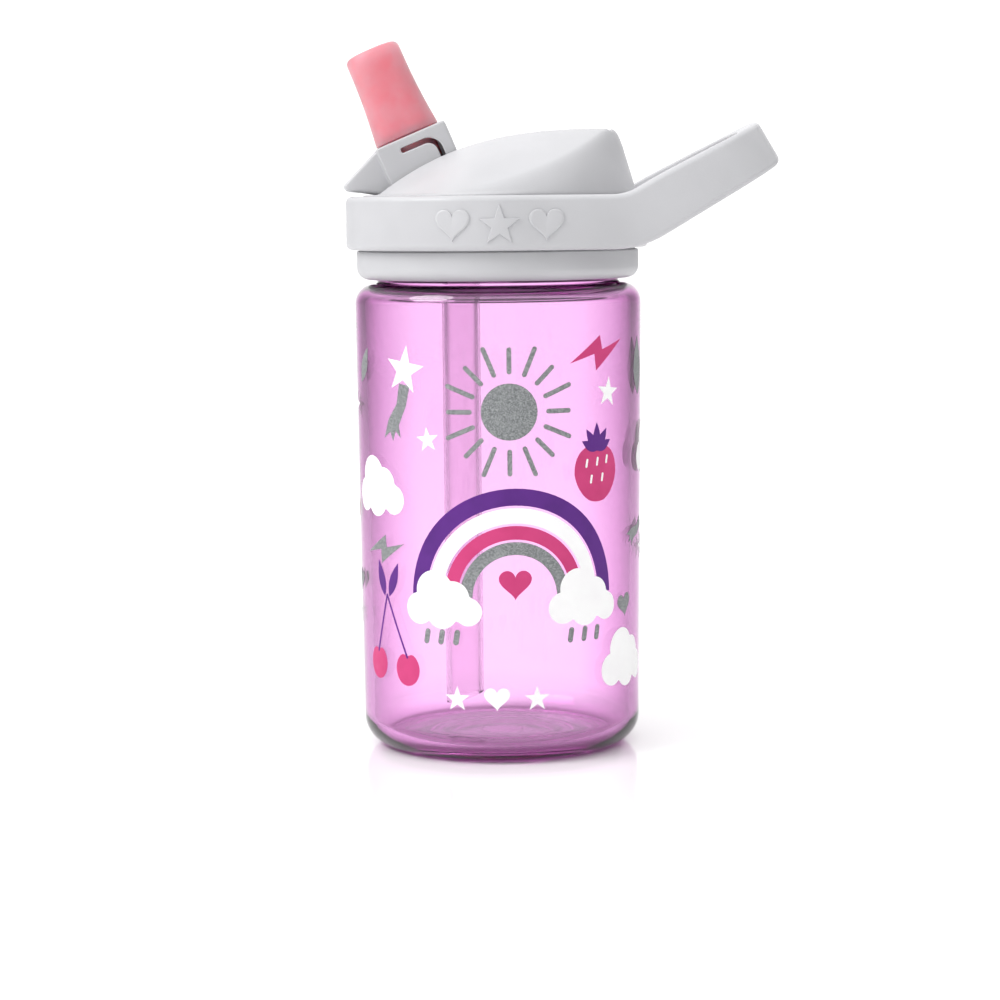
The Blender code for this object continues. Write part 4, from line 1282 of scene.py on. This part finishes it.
@dataclass
class Dome:
    """The cover over the deck: a rising shell with a trough that the folded spout lies in."""

    levels: Levels
    wall: float = 2.0 * MM
    foot_inset: float = 1.9 * MM
    rise: float = 16.6 * MM
    peak_x: float = 28.0 * MM
    fall_length: float = 58.5 * MM
    fall_power: float = 2.8
    crown_radius: float = 45.0 * MM
    slope: float = 3.3
    edge_blend: float = 5.0 * MM
    lip: float = 1.0 * MM
    trough_half: float = 10.6 * MM
    trough_end: float = 28.5 * MM
    trough_rise: float = 8.2 * MM
    trough_low_end: float = -2.0 * MM
    trough_corner: float = 2.4 * MM
    ramp: Point2 = (4.0 * MM, 1.0 * MM)     # where the trough's floor starts to rise
    rim_fillet: Point2 = (1.2 * MM, 2.6 * MM)
    trunnion: float = 3.3 * MM
    voxel: float = 0.4 * MM

    def height(self, x: float, y: float, inset: float) -> float:
        """Return the height of the surface at a place, moved in by an inset."""
        levels = self.levels
        lip_top = levels.upper_wall_top + GAP + self.lip
        fall = max(self.peak_x - x, 0.0) / self.fall_length
        crown = min((self.trough_half ** 2 - y * y) / (2 * self.crown_radius), 0.0)
        top = levels.band_top + self.rise * (1.0 - fall ** self.fall_power) + crown - inset
        wall = lip_top + (levels.dome_radius - math.hypot(x, y) - inset) * self.slope
        overlap = max(self.edge_blend - abs(top - wall), 0.0) / self.edge_blend
        joined = min(top, wall) - overlap * overlap * self.edge_blend / 4
        return max(joined, lip_top - inset)

    def shell(self, name: str, foot: Sequence[Point2], radius: float, inset: float,
              rows: int) -> bpy.types.Mesh:
        """Return a closed dome solid.

        Args:
            name: The mesh's name.
            foot: (radius, height) points up its vertical sides.
            radius: Radius where its curved top starts.
            inset: How far inside the outer surface it lies.
            rows: Rings over the top.

        Returns:
            The closed mesh.
        """
        rings = [circle(ring_radius, height, ROUND_STEPS) for ring_radius, height in foot]
        for row in range(rows):
            share = (1.0 - (row + 1) / rows) ** 0.8
            ring = [(x, y, self.height(x, y, inset))
                    for x, y, _ in circle(max(radius * share, MM), 0.0, ROUND_STEPS)]
            rings.append(ring)
        return skin(name, rings)

    def trough(self, name: str, grow: float) -> bpy.types.Mesh:
        """Return the trough's space, its floor, sides and end moved out by a wall.

        Args:
            name: The mesh's name.
            grow: The wall.

        Returns:
            The closed mesh.
        """
        above = self.levels.band_top + 2 * self.rise
        below = self.levels.dome_bottom - self.wall
        floor = self.levels.dome_bottom - grow
        front = -2 * self.levels.band_radius
        end = self.trough_end + grow
        outline = [(front, below), (self.trough_low_end, below),
                   (self.trough_low_end + self.ramp[0], floor + self.ramp[1]),
                   (end, floor + self.trough_rise),
                   (end, above), (front, above)]
        block = prism(name, outline, self.trough_half + grow)
        return rounded(block, self.trough_corner + grow, 6, 60.0)

    def near_rim(self, place: Vector) -> float:
        """Return how much a point belongs to the trough's rim, from 0 to 1."""
        if place.z < self.levels.band_top:
            return 0.0
        off_side = abs(abs(place.y) - self.trough_half)
        off_end = abs(place.x - self.trough_end) if abs(place.y) < self.trough_half else off_side
        near = min(off_side if place.x < self.trough_end + self.wall else 1.0, off_end)
        return 1.0 - smoothstep(near, *self.rim_fillet)

    def build(self, finishes: Finishes) -> bpy.types.Object:
        """Build and dress the dome."""
        levels = self.levels
        foot_radius = levels.skirt_radius - self.foot_inset - GAP
        lip_bottom = levels.upper_wall_top + GAP
        outside = [(foot_radius, levels.dome_bottom), (foot_radius, lip_bottom),
                   (levels.dome_radius, lip_bottom), (levels.dome_radius, lip_bottom + self.lip)]
        mesh = self.shell("dome_cover", outside, levels.dome_radius, 0.0, 90)
        inner = foot_radius - self.wall
        cavity = self.shell("cavity", [(inner, levels.dome_bottom - self.wall)], inner, self.wall, 60)
        cavity = combined(cavity, self.trough("trough_walls", self.wall), Joining.DIFFERENCE)
        mesh = combined(mesh, cavity, Joining.DIFFERENCE)
        mesh = combined(mesh, self.trough("trough", 0.0), Joining.DIFFERENCE)
        reach = Vector((0.0, self.trough_half + 2 * self.wall, 0.0))
        holes = rod("trunnion_holes", self.trunnion, levels.pivot - reach, levels.pivot + reach)
        mesh = combined(mesh, holes, Joining.DIFFERENCE)
        mesh = moulded(mesh, self.voxel, 3, self.near_rim, 14)
        return finish_piece("dome_cover", mesh, finishes.cap_plastic, "cap",
                            "cap_dome", 70.0)


@dataclass
class CarryBand:
    """The band round the cap and the finger loop that it runs out into."""

    levels: Levels
    wall: float = 2.3 * MM
    arm_wall: float = 4.6 * MM
    tip_wall: float = 6.0 * MM
    tip_height: float = 11.8 * MM
    angle: float = math.radians(30.5)
    length: float = 77.2 * MM
    tip_half_width: float = 31.0 * MM
    corner: float = 14.0 * MM
    end_angle: float = math.radians(10.0)
    bend_start: float = 28.2 * MM
    bend_radius: float = 12.0 * MM
    edge_outer: float = 1.5 * MM
    edge_inner: float = 0.6 * MM
    arm_run: Point2 = (5.0 * MM, 30.0 * MM)     # where the wall thickens to the arm's
    tip_start: float = 60.0 * MM
    snap_reach: float = 0.5 * MM
    sunk: float = 0.15 * MM
    rear_spread: float = math.radians(115.0)

    @property
    def height(self) -> float:
        """Return the band's height."""
        return self.levels.band_top - self.levels.band_bottom

    @property
    def end_radius(self) -> float:
        """Return the radius of the loop's wide end."""
        return (self.tip_half_width - self.corner) / math.sin(self.end_angle) + self.corner

    def corner_centre(self) -> Vector:
        """Return the centre of the loop's corner on the +Y side."""
        toward = Vector((math.cos(self.end_angle), math.sin(self.end_angle)))
        return Vector((self.length - self.end_radius, 0.0)) + (self.end_radius - self.corner) * toward

    def leaving(self) -> float:
        """Return the angle from +X at which the arm leaves the round band."""
        corner = self.corner_centre()
        spare = self.levels.band_radius - self.corner
        return math.atan2(corner.y, corner.x) + math.acos(spare / corner.length)

    def path(self) -> list[tuple[Vector, Vector]]:
        """Return (point, outward normal) pairs round the band and loop, before the bend."""
        radius = self.levels.band_radius
        end_radius = self.end_radius
        end_centre = Vector((self.length - end_radius, 0.0))
        corner = self.corner_centre()
        leave = self.leaving()
        half = [(end_centre, end_radius, self.end_angle * step / 10) for step in range(10)]
        half += [(corner, self.corner, blend(self.end_angle, leave, step / 24)) for step in range(25)]
        for step in range(1, 40):
            share = step / 40
            half.append((corner * (1 - share), blend(self.corner, radius, share), leave))
        half += [(Vector((0.0, 0.0)), radius, blend(leave, math.pi, step / 70)) for step in range(71)]
        pairs = []
        for centre, reach, heading in half:
            normal = Vector((math.cos(heading), math.sin(heading)))
            pairs.append((centre + reach * normal, normal))
        mirrored = [(Vector((point.x, -point.y)), Vector((normal.x, -normal.y)))
                    for point, normal in reversed(pairs[1:-1])]
        return pairs + mirrored

    def section(self, wall: float, bottom: float, top: float) -> list[Point2]:
        """Return (inward, height) points of the band's rounded section."""
        outer = min(self.edge_outer, 0.65 * wall)
        inner = min(self.edge_inner, 0.25 * wall)
        points = arc((outer, top - outer), outer, 180, 90, 7)
        points += arc((wall - inner, top - inner), inner, 90, 0, 4)
        points += arc((wall - inner, bottom + inner), inner, 0, -90, 4)
        points += arc((outer, bottom + outer), outer, 270, 180, 7)
        return points

    def bent(self, x: float, y: float, z: float) -> Point3:
        """Bend a point of the flat loop up about a line along Y."""
        radius = self.bend_radius + self.levels.band_top - z
        reference = self.bend_radius + self.height
        angle = min(max((x - self.bend_start) / reference, 0.0), self.angle)
        if angle == 0.0:
            return x, y, z
        beyond = max(x - self.bend_start - reference * self.angle, 0.0)
        centre_z = self.levels.band_top + self.bend_radius
        return (self.bend_start + radius * math.sin(angle) + beyond * math.cos(angle), y,
                centre_z - radius * math.cos(angle) + beyond * math.sin(angle))

    def ring(self, point: Vector, normal: Vector) -> Ring:
        """Return one section of the band or loop in its place."""
        wall = blend(self.wall, self.arm_wall, smoothstep(point.x, *self.arm_run))
        wall = blend(wall, self.tip_wall, smoothstep(point.x, self.tip_start, self.length))
        straight = self.bend_start + (self.bend_radius + self.height) * self.angle
        height = blend(self.height, self.tip_height, smoothstep(point.x, straight, self.length))
        bottom = self.levels.band_bottom
        places = [(point - inward * normal, level)
                  for inward, level in self.section(wall, bottom, bottom + height)]
        return [self.bent(place.x, place.y, level) for place, level in places]

    def rear_band(self) -> bpy.types.Mesh:
        """Return the part of the band that runs behind the dome, between the arms."""
        radius = self.levels.band_radius - self.sunk
        section = self.section(self.wall - 2 * self.sunk, self.levels.band_bottom + self.sunk,
                               self.levels.band_top - self.sunk)
        steps = 120
        rings = []
        for step in range(steps + 1):
            angle = blend(-self.rear_spread, self.rear_spread, step / steps)
            rings.append([((radius - inward) * math.cos(angle), (radius - inward) * math.sin(angle), level)
                          for inward, level in section])
        return skin("rear_band", rings)

    def snap_ring(self) -> bpy.types.Mesh:
        """Return the bead that snaps into the cap body's groove."""
        inner = self.levels.skirt_radius - self.snap_reach
        outer = self.levels.skirt_radius + GAP + self.wall / 3
        bottom = self.levels.band_bottom + self.sunk
        top = self.levels.band_bottom + SNAP_HEIGHT
        return turned("snap_ring", [(inner, top), (outer, top), (outer, bottom), (inner, bottom)],
                      ROUND_STEPS, True)

    def build(self, finishes: Finishes) -> bpy.types.Object:
        """Build and dress the band."""
        mesh = skin("carry_band", [self.ring(point, normal) for point, normal in self.path()], True)
        mesh = combined(mesh, self.rear_band(), Joining.UNION)
        mesh = combined(mesh, self.snap_ring(), Joining.UNION)
        return finish_piece("carry_band", mesh, finishes.cap_plastic, "cap", "handle_band")

    def on_front(self, along: float, height: float, proud: float) -> Point3:
        """Return a point on the band's front, which follows the cap and then runs out straight.

        Args:
            along: Distance along the band from the front's middle.
            height: Its height.
            proud: Its distance off the band.

        Returns:
            The point.
        """
        radius = self.levels.band_radius
        turning = math.pi / 2 - self.leaving()
        angle = min(along / radius, turning)
        beyond = along - angle * radius
        reach = radius + proud
        return (reach * math.sin(angle) + beyond * math.cos(angle),
                -reach * math.cos(angle) + beyond * math.sin(angle), height)

    def emblem(self, finishes: Finishes) -> bpy.types.Object:
        """Build and dress the raised row of shapes on the band's front."""
        middle = blend(self.levels.band_bottom, self.levels.band_top, 0.46) / MM
        outlines = (heart((-11.0, middle), 8.6), star((0.5, middle), 5.2), heart((12.0, middle), 8.6))
        shape = bmesh.new()
        for outline in outlines:
            rows = ((1.0, -self.sunk), (1.0, 0.28 * MM), (0.94, 0.42 * MM), (0.85, 0.45 * MM))
            centre = (sum(x for x, _ in outline) / len(outline), sum(y for _, y in outline) / len(outline))
            rings = []
            for share, proud in rows:
                ring = []
                for x, y in outline:
                    along = blend(centre[0], x, share) * MM
                    height = blend(centre[1], y, share) * MM
                    ring.append(shape.verts.new(self.on_front(along, height, proud)))
                rings.append(ring)
            for low, high in zip(rings, rings[1:]):
                for index in range(len(low)):
                    after = (index + 1) % len(low)
                    shape.faces.new((low[index], low[after], high[after], high[index]))
            shape.faces.new(rings[0])
            shape.faces.new(rings[-1])
        mesh = mesh_from_bmesh("band_emblem", shape)
        return finish_piece("band_emblem", mesh, finishes.cap_plastic, "cap")


# ---------------------------------------------------------------- spout

@dataclass
class Spout:
    """The folding spout: a moulded stem and the soft bite valve that is pushed on it."""

    levels: Levels
    half_width: float = 9.9 * MM
    drum: float = 8.5 * MM
    drum_edge: float = 1.2 * MM
    collar_top: float = 12.9 * MM
    collar_front: float = -8.6 * MM
    collar_back: float = 10.1 * MM
    collar_back_foot: float = 4.3 * MM
    lip_half_width: float = 8.2 * MM
    lip_edge: float = 1.6 * MM
    trunnion: float = 3.0 * MM
    trunnion_reach: float = 12.3 * MM
    pocket_floor: float = 4.1 * MM
    spigot: float = 4.7 * MM
    spigot_top: float = 12.6 * MM
    bore: float = 2.8 * MM
    inlet: float = 2.7 * MM
    slot_width: float = 1.3 * MM
    slot_start: float = -2.8 * MM
    slot_below_top: float = 2.9 * MM
    slot_foot: float = 2.5 * MM
    slot_bend: float = 3.3 * MM
    plug: Point2 = (6.8 * MM, 8.0 * MM)
    foot: Point2 = (8.4 * MM, 9.5 * MM)
    tip: Point2 = (7.1 * MM, 9.3 * MM)
    tip_height: float = 36.4 * MM
    valve_wall: float = 2.0 * MM
    valve_edge: float = 1.5 * MM
    valve_steps: int = 96
    crown: float = 0.25 * MM
    waist: float = 0.35 * MM
    slit: Point2 = (0.17 * MM, 4.5 * MM)        # half its width and half its length
    voxel: float = 0.26 * MM

    def stem_outline(self) -> list[Point2]:
        """Return the (x, z) outline of the drum and collar, from the pivot."""
        end = 360.0 + math.degrees(math.asin(self.collar_back_foot / self.drum))
        points = arc((0.0, 0.0), self.drum, 180, end, 40)
        return points + [(self.collar_back, self.collar_back_foot), (self.collar_back, self.collar_top),
                         (self.collar_front, self.collar_top)]

    def lip_outline(self) -> list[Point2]:
        """Return the (x, z) outline of the thumb lip, from the pivot."""
        top = self.collar_top - 0.2 * MM
        tip = [(-19.9, 7.8), (-19.7, 6.2), (-16.6, 4.6), (-12.4, 2.0), (-6.0, -1.5)]
        return [(self.collar_front + 3.0 * MM, top), (self.collar_front, top),
                *[(x * MM, z * MM) for x, z in tip]]

    def hook_slot(self, side: int) -> bpy.types.Mesh:
        """Return the cutter for the hooked slot in one side of the collar."""
        level = self.collar_top - self.slot_below_top
        path = [(self.slot_start, level), (0.0, level)]
        path += arc((self.slot_bend, level - self.slot_bend), self.slot_bend, 90, 0, 10)[1:]
        path += [(2 * self.slot_bend, self.slot_foot)]
        points = [Vector(point) for point in path]
        rings = []
        for index, point in enumerate(points):
            along = (points[min(index + 1, len(points) - 1)] - points[max(index - 1, 0)]).normalized()
            across = Vector((-along.y, along.x)) * self.slot_width / 2
            near = side * (self.half_width + PAST)
            far = side * (self.spigot + GAP)
            rings.append([(point.x + across.x, near, point.y + across.y),
                          (point.x - across.x, near, point.y - across.y),
                          (point.x - across.x, far, point.y - across.y),
                          (point.x + across.x, far, point.y + across.y)])
        return skin("hook_slot", rings)

    def stem(self, finishes: Finishes) -> bpy.types.Object:
        """Build and dress the stem."""
        drum = prism("spout_moulding", self.stem_outline(), self.half_width)
        mesh = rounded(drum, self.drum_edge, 4, 40.0)
        lip = rounded(prism("lip", self.lip_outline(), self.lip_half_width), self.lip_edge, 4, 50.0)
        mesh = combined(mesh, lip, Joining.UNION)
        pocket = (self.plug[0] + GAP, self.plug[1] + GAP)
        mesh = combined(mesh, skin("pocket", [oval(*pocket, self.pocket_floor),
                                              oval(*pocket, self.collar_top + PAST)]), Joining.DIFFERENCE)
        reach = self.trunnion_reach
        for part in (rod("spigot", self.spigot, (0, 0, self.pocket_floor - PAST), (0, 0, self.spigot_top)),
                     rod("trunnions", self.trunnion, (0, -reach, 0), (0, reach, 0))):
            mesh = combined(mesh, part, Joining.UNION)
        turn_back = self.levels.spout.to_3x3().inverted()
        down = turn_back @ Vector((0.0, 0.0, -1.0))
        for part in (rod("up_bore", self.bore, (0, 0, 0), (0, 0, self.spigot_top + PAST)),
                     rod("inlet", self.inlet, -PAST * down, (self.drum + PAST) * down),
                     self.hook_slot(-1), self.hook_slot(1)):
            mesh = combined(mesh, part, Joining.DIFFERENCE)
        mesh = moulded(mesh, self.voxel, 4)
        mesh.transform(self.levels.spout)
        return finish_piece("spout_moulding", mesh, finishes.cap_plastic, "spout",
                            "spout_stem", 70.0)

    def valve_ring(self, half: Point2, height: float, power: float = 2.6) -> Ring:
        """Return one ring of the bite valve."""
        return oval(half[0], half[1], height, power, self.valve_steps)

    def valve_rings(self) -> list[Ring]:
        """Return rings from the tip's middle down the outside, and up the inside to its middle."""
        ring = self.valve_ring
        base = self.collar_top + GAP
        foot_height = 0.6 * MM
        edge = self.valve_edge
        tip_x, tip_y = self.tip
        rings = []
        for share in (0.02, 0.3, 0.55, 0.72):
            crowned = self.tip_height + self.crown * (1 - share ** 2)
            rings.append(ring((tip_x * share, tip_y * share), crowned))
        for step in range(9):
            angle = math.pi / 2 * step / 8
            inward = edge * (1 - math.sin(angle))
            rings.append(ring((tip_x - inward, tip_y - inward),
                              self.tip_height - edge * (1 - math.cos(angle))))
        for step in range(1, 25):
            share = step / 25
            waist = self.waist * math.sin(math.pi * share)
            half = (blend(tip_x, self.foot[0], share) - waist,
                    blend(tip_y, self.foot[1], share) - waist / 2)
            rings.append(ring(half, blend(self.tip_height - edge, base + foot_height, share)))
        foot_edge = 0.2 * MM
        rings += [ring(self.foot, base + foot_height), ring(self.foot, base + foot_edge),
                  ring((self.foot[0] - foot_edge, self.foot[1] - foot_edge), base)]
        rings += [ring(self.plug, base), ring(self.plug, self.pocket_floor + 2 * GAP),
                  ring((self.plug[0] - GAP, self.plug[1] - GAP), self.pocket_floor + GAP)]
        return rings + self.chamber_rings()

    def chamber_rings(self) -> list[Ring]:
        """Return the bite valve's inside, from its plug's hole up to under the tip."""
        ring = self.valve_ring
        tip_x, tip_y = self.tip
        hole = self.spigot + GAP
        wall = self.valve_wall
        top = self.spigot_top + GAP
        rings = [ring((hole, hole), self.pocket_floor + GAP, 2.0), ring((hole, hole), top, 2.0)]
        chamber = (self.foot[0] - wall, self.foot[1] - wall)
        for step in range(5):
            share = smoothstep(step, 0, 4)
            rings.append(ring((blend(hole, chamber[0], share), blend(hole, chamber[1], share)),
                              top + wall * (0.2 + 0.8 * step / 4), blend(2.0, 2.6, share)))
        for step in range(1, 13):
            share = step / 12
            half = (blend(chamber[0], tip_x - wall, share), blend(chamber[1], tip_y - wall, share))
            rings.append(ring(half, blend(top + wall, self.tip_height - 2 * wall, share)))
        for share in (0.9, 0.7, 0.4, 0.02):
            rings.append(ring(((tip_x - wall) * share, (tip_y - wall) * share),
                              self.tip_height - wall * (1 + 1.1 * share ** 4)))
        return rings

    def valve(self, finishes: Finishes) -> bpy.types.Object:
        """Build and dress the bite valve."""
        mesh = skin("bite_mouthpiece", self.valve_rings())
        half_width, half_length = self.slit
        low = self.tip_height - 2 * self.valve_wall
        high = self.tip_height + PAST
        slit = [(-half_width, low), (half_width, low), (half_width, high), (-half_width, high)]
        mesh = combined(mesh, prism("slit", slit, half_length), Joining.DIFFERENCE)
        mesh.transform(self.levels.spout)
        return finish_piece("bite_mouthpiece", mesh, finishes.bite_silicone, "mouthpiece",
                            "bite_valve")


@dataclass
class Straw:
    """The straw from the cap's nozzle down to just above the floor."""

    levels: Levels
    notch: float = math.radians(20.0)
    notch_depth: float = 5.0 * MM
    edge: float = 0.25 * MM

    def build(self, finishes: Finishes) -> bpy.types.Object:
        """Build and dress the straw."""
        low = self.levels.straw_low
        high = self.levels.straw_high
        outer = (high.x - low.x) / 2
        inner = outer - STRAW_WALL
        edge = self.edge
        points = [(inner, high.z - edge), (inner + edge, high.z), (outer - edge, high.z),
                  (outer, high.z - edge), (outer, low.z), (inner, low.z)]
        tube = turned("drinking_straw", points, SMALL_STEPS, True)
        reach = outer + PAST
        rise = 2 * outer * math.tan(self.notch)
        under = low.z - self.notch_depth
        wedge = [(-reach, under), (reach, under), (reach, low.z + rise), (-reach, low.z)]
        tube = combined(tube, prism("notch", wedge, reach), Joining.DIFFERENCE)
        tube.transform(Matrix.Translation(((low.x + high.x) / 2, 0.0, 0.0)))
        return finish_piece("drinking_straw", tube, finishes.straw_plastic, "cap", "straw")


def dress_seals(finishes: Finishes) -> None:
    """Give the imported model's own small silicone pieces their material."""
    for name in ("cap_gasket", "vent_valve", "spout_seal"):
        node = frame["nodes"][name]
        if not node.material_slots:
            node.data.materials.append(finishes.clear_silicone)
        for slot in node.material_slots:
            slot.material = finishes.clear_silicone
        LOG.info("%s: the packed node, dressed", name)


# ---------------------------------------------------------------- studio

@dataclass
class Studio:
    """Floor, soft light and camera."""

    back_light: float = 1.25        # the lit white backdrop behind the bottle
    top_light: float = 1.35
    room_light: float = 0.36        # all other ways round; it draws the clear wall's edges
    key_power: float = 16.0
    camera_place: Point3 = (0.0, -711.3 * MM, 138.3 * MM)
    camera_tilt: float = 6.09       # degrees down
    camera_roll: float = -0.57
    lens: float = 99.9

    def build(self) -> None:
        """Set up the whole studio."""
        bpy.context.scene.view_settings.view_transform = "Standard"
        self.floor()
        self.world()
        self.key()
        self.camera()

    def floor(self) -> None:
        """Lay a wide white board under the bottle."""
        half = 20.0
        ring = [(-half, -half), (half, -half), (half, half), (-half, half)]
        mesh = skin("studio_floor", [[(x, y, z) for x, y in ring] for z in (-20 * MM, -0.05 * MM)])
        mesh.materials.append(StudioBoard().material())
        board = shown("studio_floor", mesh)

    def world(self) -> None:
        """Surround the set with a lit backdrop behind, soft light above and a dim room."""
        world = bpy.data.worlds.new("soft_studio")
        bpy.context.scene.world = world
        world.use_nodes = True
        tree = world.node_tree
        heading = add_node(tree, "ShaderNodeTexCoord").outputs["Generated"]
        parts = add_node(tree, "ShaderNodeSeparateXYZ", links={"Vector": heading}).outputs
        across = add_node(tree, "ShaderNodeMath", {"operation": "ABSOLUTE"},
                          {"Value": parts["X"]}).outputs["Value"]
        width = self.eased(tree, across, (0.2, 0.55), (1.0, 0.0))
        depth = self.eased(tree, parts["Y"], (0.0, 0.25), (0.0, 1.0))
        above = self.eased(tree, parts["Z"], (0.15, 0.7), (self.room_light, self.top_light))
        backdrop = add_node(tree, "ShaderNodeMapRange", {"From Max": 1.0, "To Min": 0.0},
                            {"Value": width, "To Max": depth}).outputs["Result"]
        strength = add_node(tree, "ShaderNodeMapRange", {"To Max": self.back_light},
                            {"Value": backdrop, "To Min": above}).outputs["Result"]
        background = tree.nodes["Background"]
        background.inputs["Color"].default_value = (1.0, 1.0, 1.0, 1.0)
        tree.links.new(strength, background.inputs["Strength"])

    def eased(self, tree: bpy.types.NodeTree, value: bpy.types.NodeSocket, run: Point2,
              span: Point2) -> bpy.types.NodeSocket:
        """Return an ease over a span as a value runs over a range.

        Args:
            tree: The node tree.
            value: The value.
            run: Where the ease starts and ends.
            span: What it gives at both.

        Returns:
            The eased value.
        """
        return add_node(tree, "ShaderNodeMapRange", {
            "interpolation_type": "SMOOTHSTEP", "From Min": run[0], "From Max": run[1],
            "To Min": span[0], "To Max": span[1]}, {"Value": value}).outputs["Result"]

    def key(self) -> None:
        """Hang one wide soft light above, to the front left."""
        light = bpy.data.lights.new("key", "AREA")
        light.shape = "DISK"
        light.size = 1.0
        light.energy = self.key_power
        lamp = bpy.data.objects.new("key", light)
        bpy.context.scene.collection.objects.link(lamp)
        lamp.location = (-1.15, -0.5, 1.2)
        aim = Vector((0.0, 0.0, 0.13)) - lamp.location
        lamp.rotation_euler = aim.to_track_quat("-Z", "Y").to_euler()

    def camera(self) -> None:
        """Set the camera a little above the band, looking slightly down."""
        data = bpy.data.cameras.new("camera")
        data.lens = self.lens
        data.clip_end = 100.0
        camera = bpy.data.objects.new("camera", data)
        bpy.context.scene.collection.objects.link(camera)
        tilt = Matrix.Rotation(math.radians(90.0 - self.camera_tilt), 4, "X")
        roll = Matrix.Rotation(math.radians(self.camera_roll), 4, "Z")
        camera.matrix_world = Matrix.Translation(self.camera_place) @ tilt @ roll
        bpy.context.scene.camera = camera


def main() -> None:
    """Build every piece in order."""
    logging.basicConfig(level=logging.INFO, format="%(message)s")
    levels = Levels.read()
    finishes = Finishes.make()
    bottle = Bottle(levels)
    bottle.build(finishes)
    Print(bottle).build()
    CapBody(levels).build(finishes)
    Dome(levels).build(finishes)
    band = CarryBand(levels)
    band.build(finishes)
    band.emblem(finishes)
    spout = Spout(levels)
    spout.stem(finishes)
    spout.valve(finishes)
    Straw(levels).build(finishes)
    dress_seals(finishes)
    Studio().build()


if __name__ == "__main__":
    main()
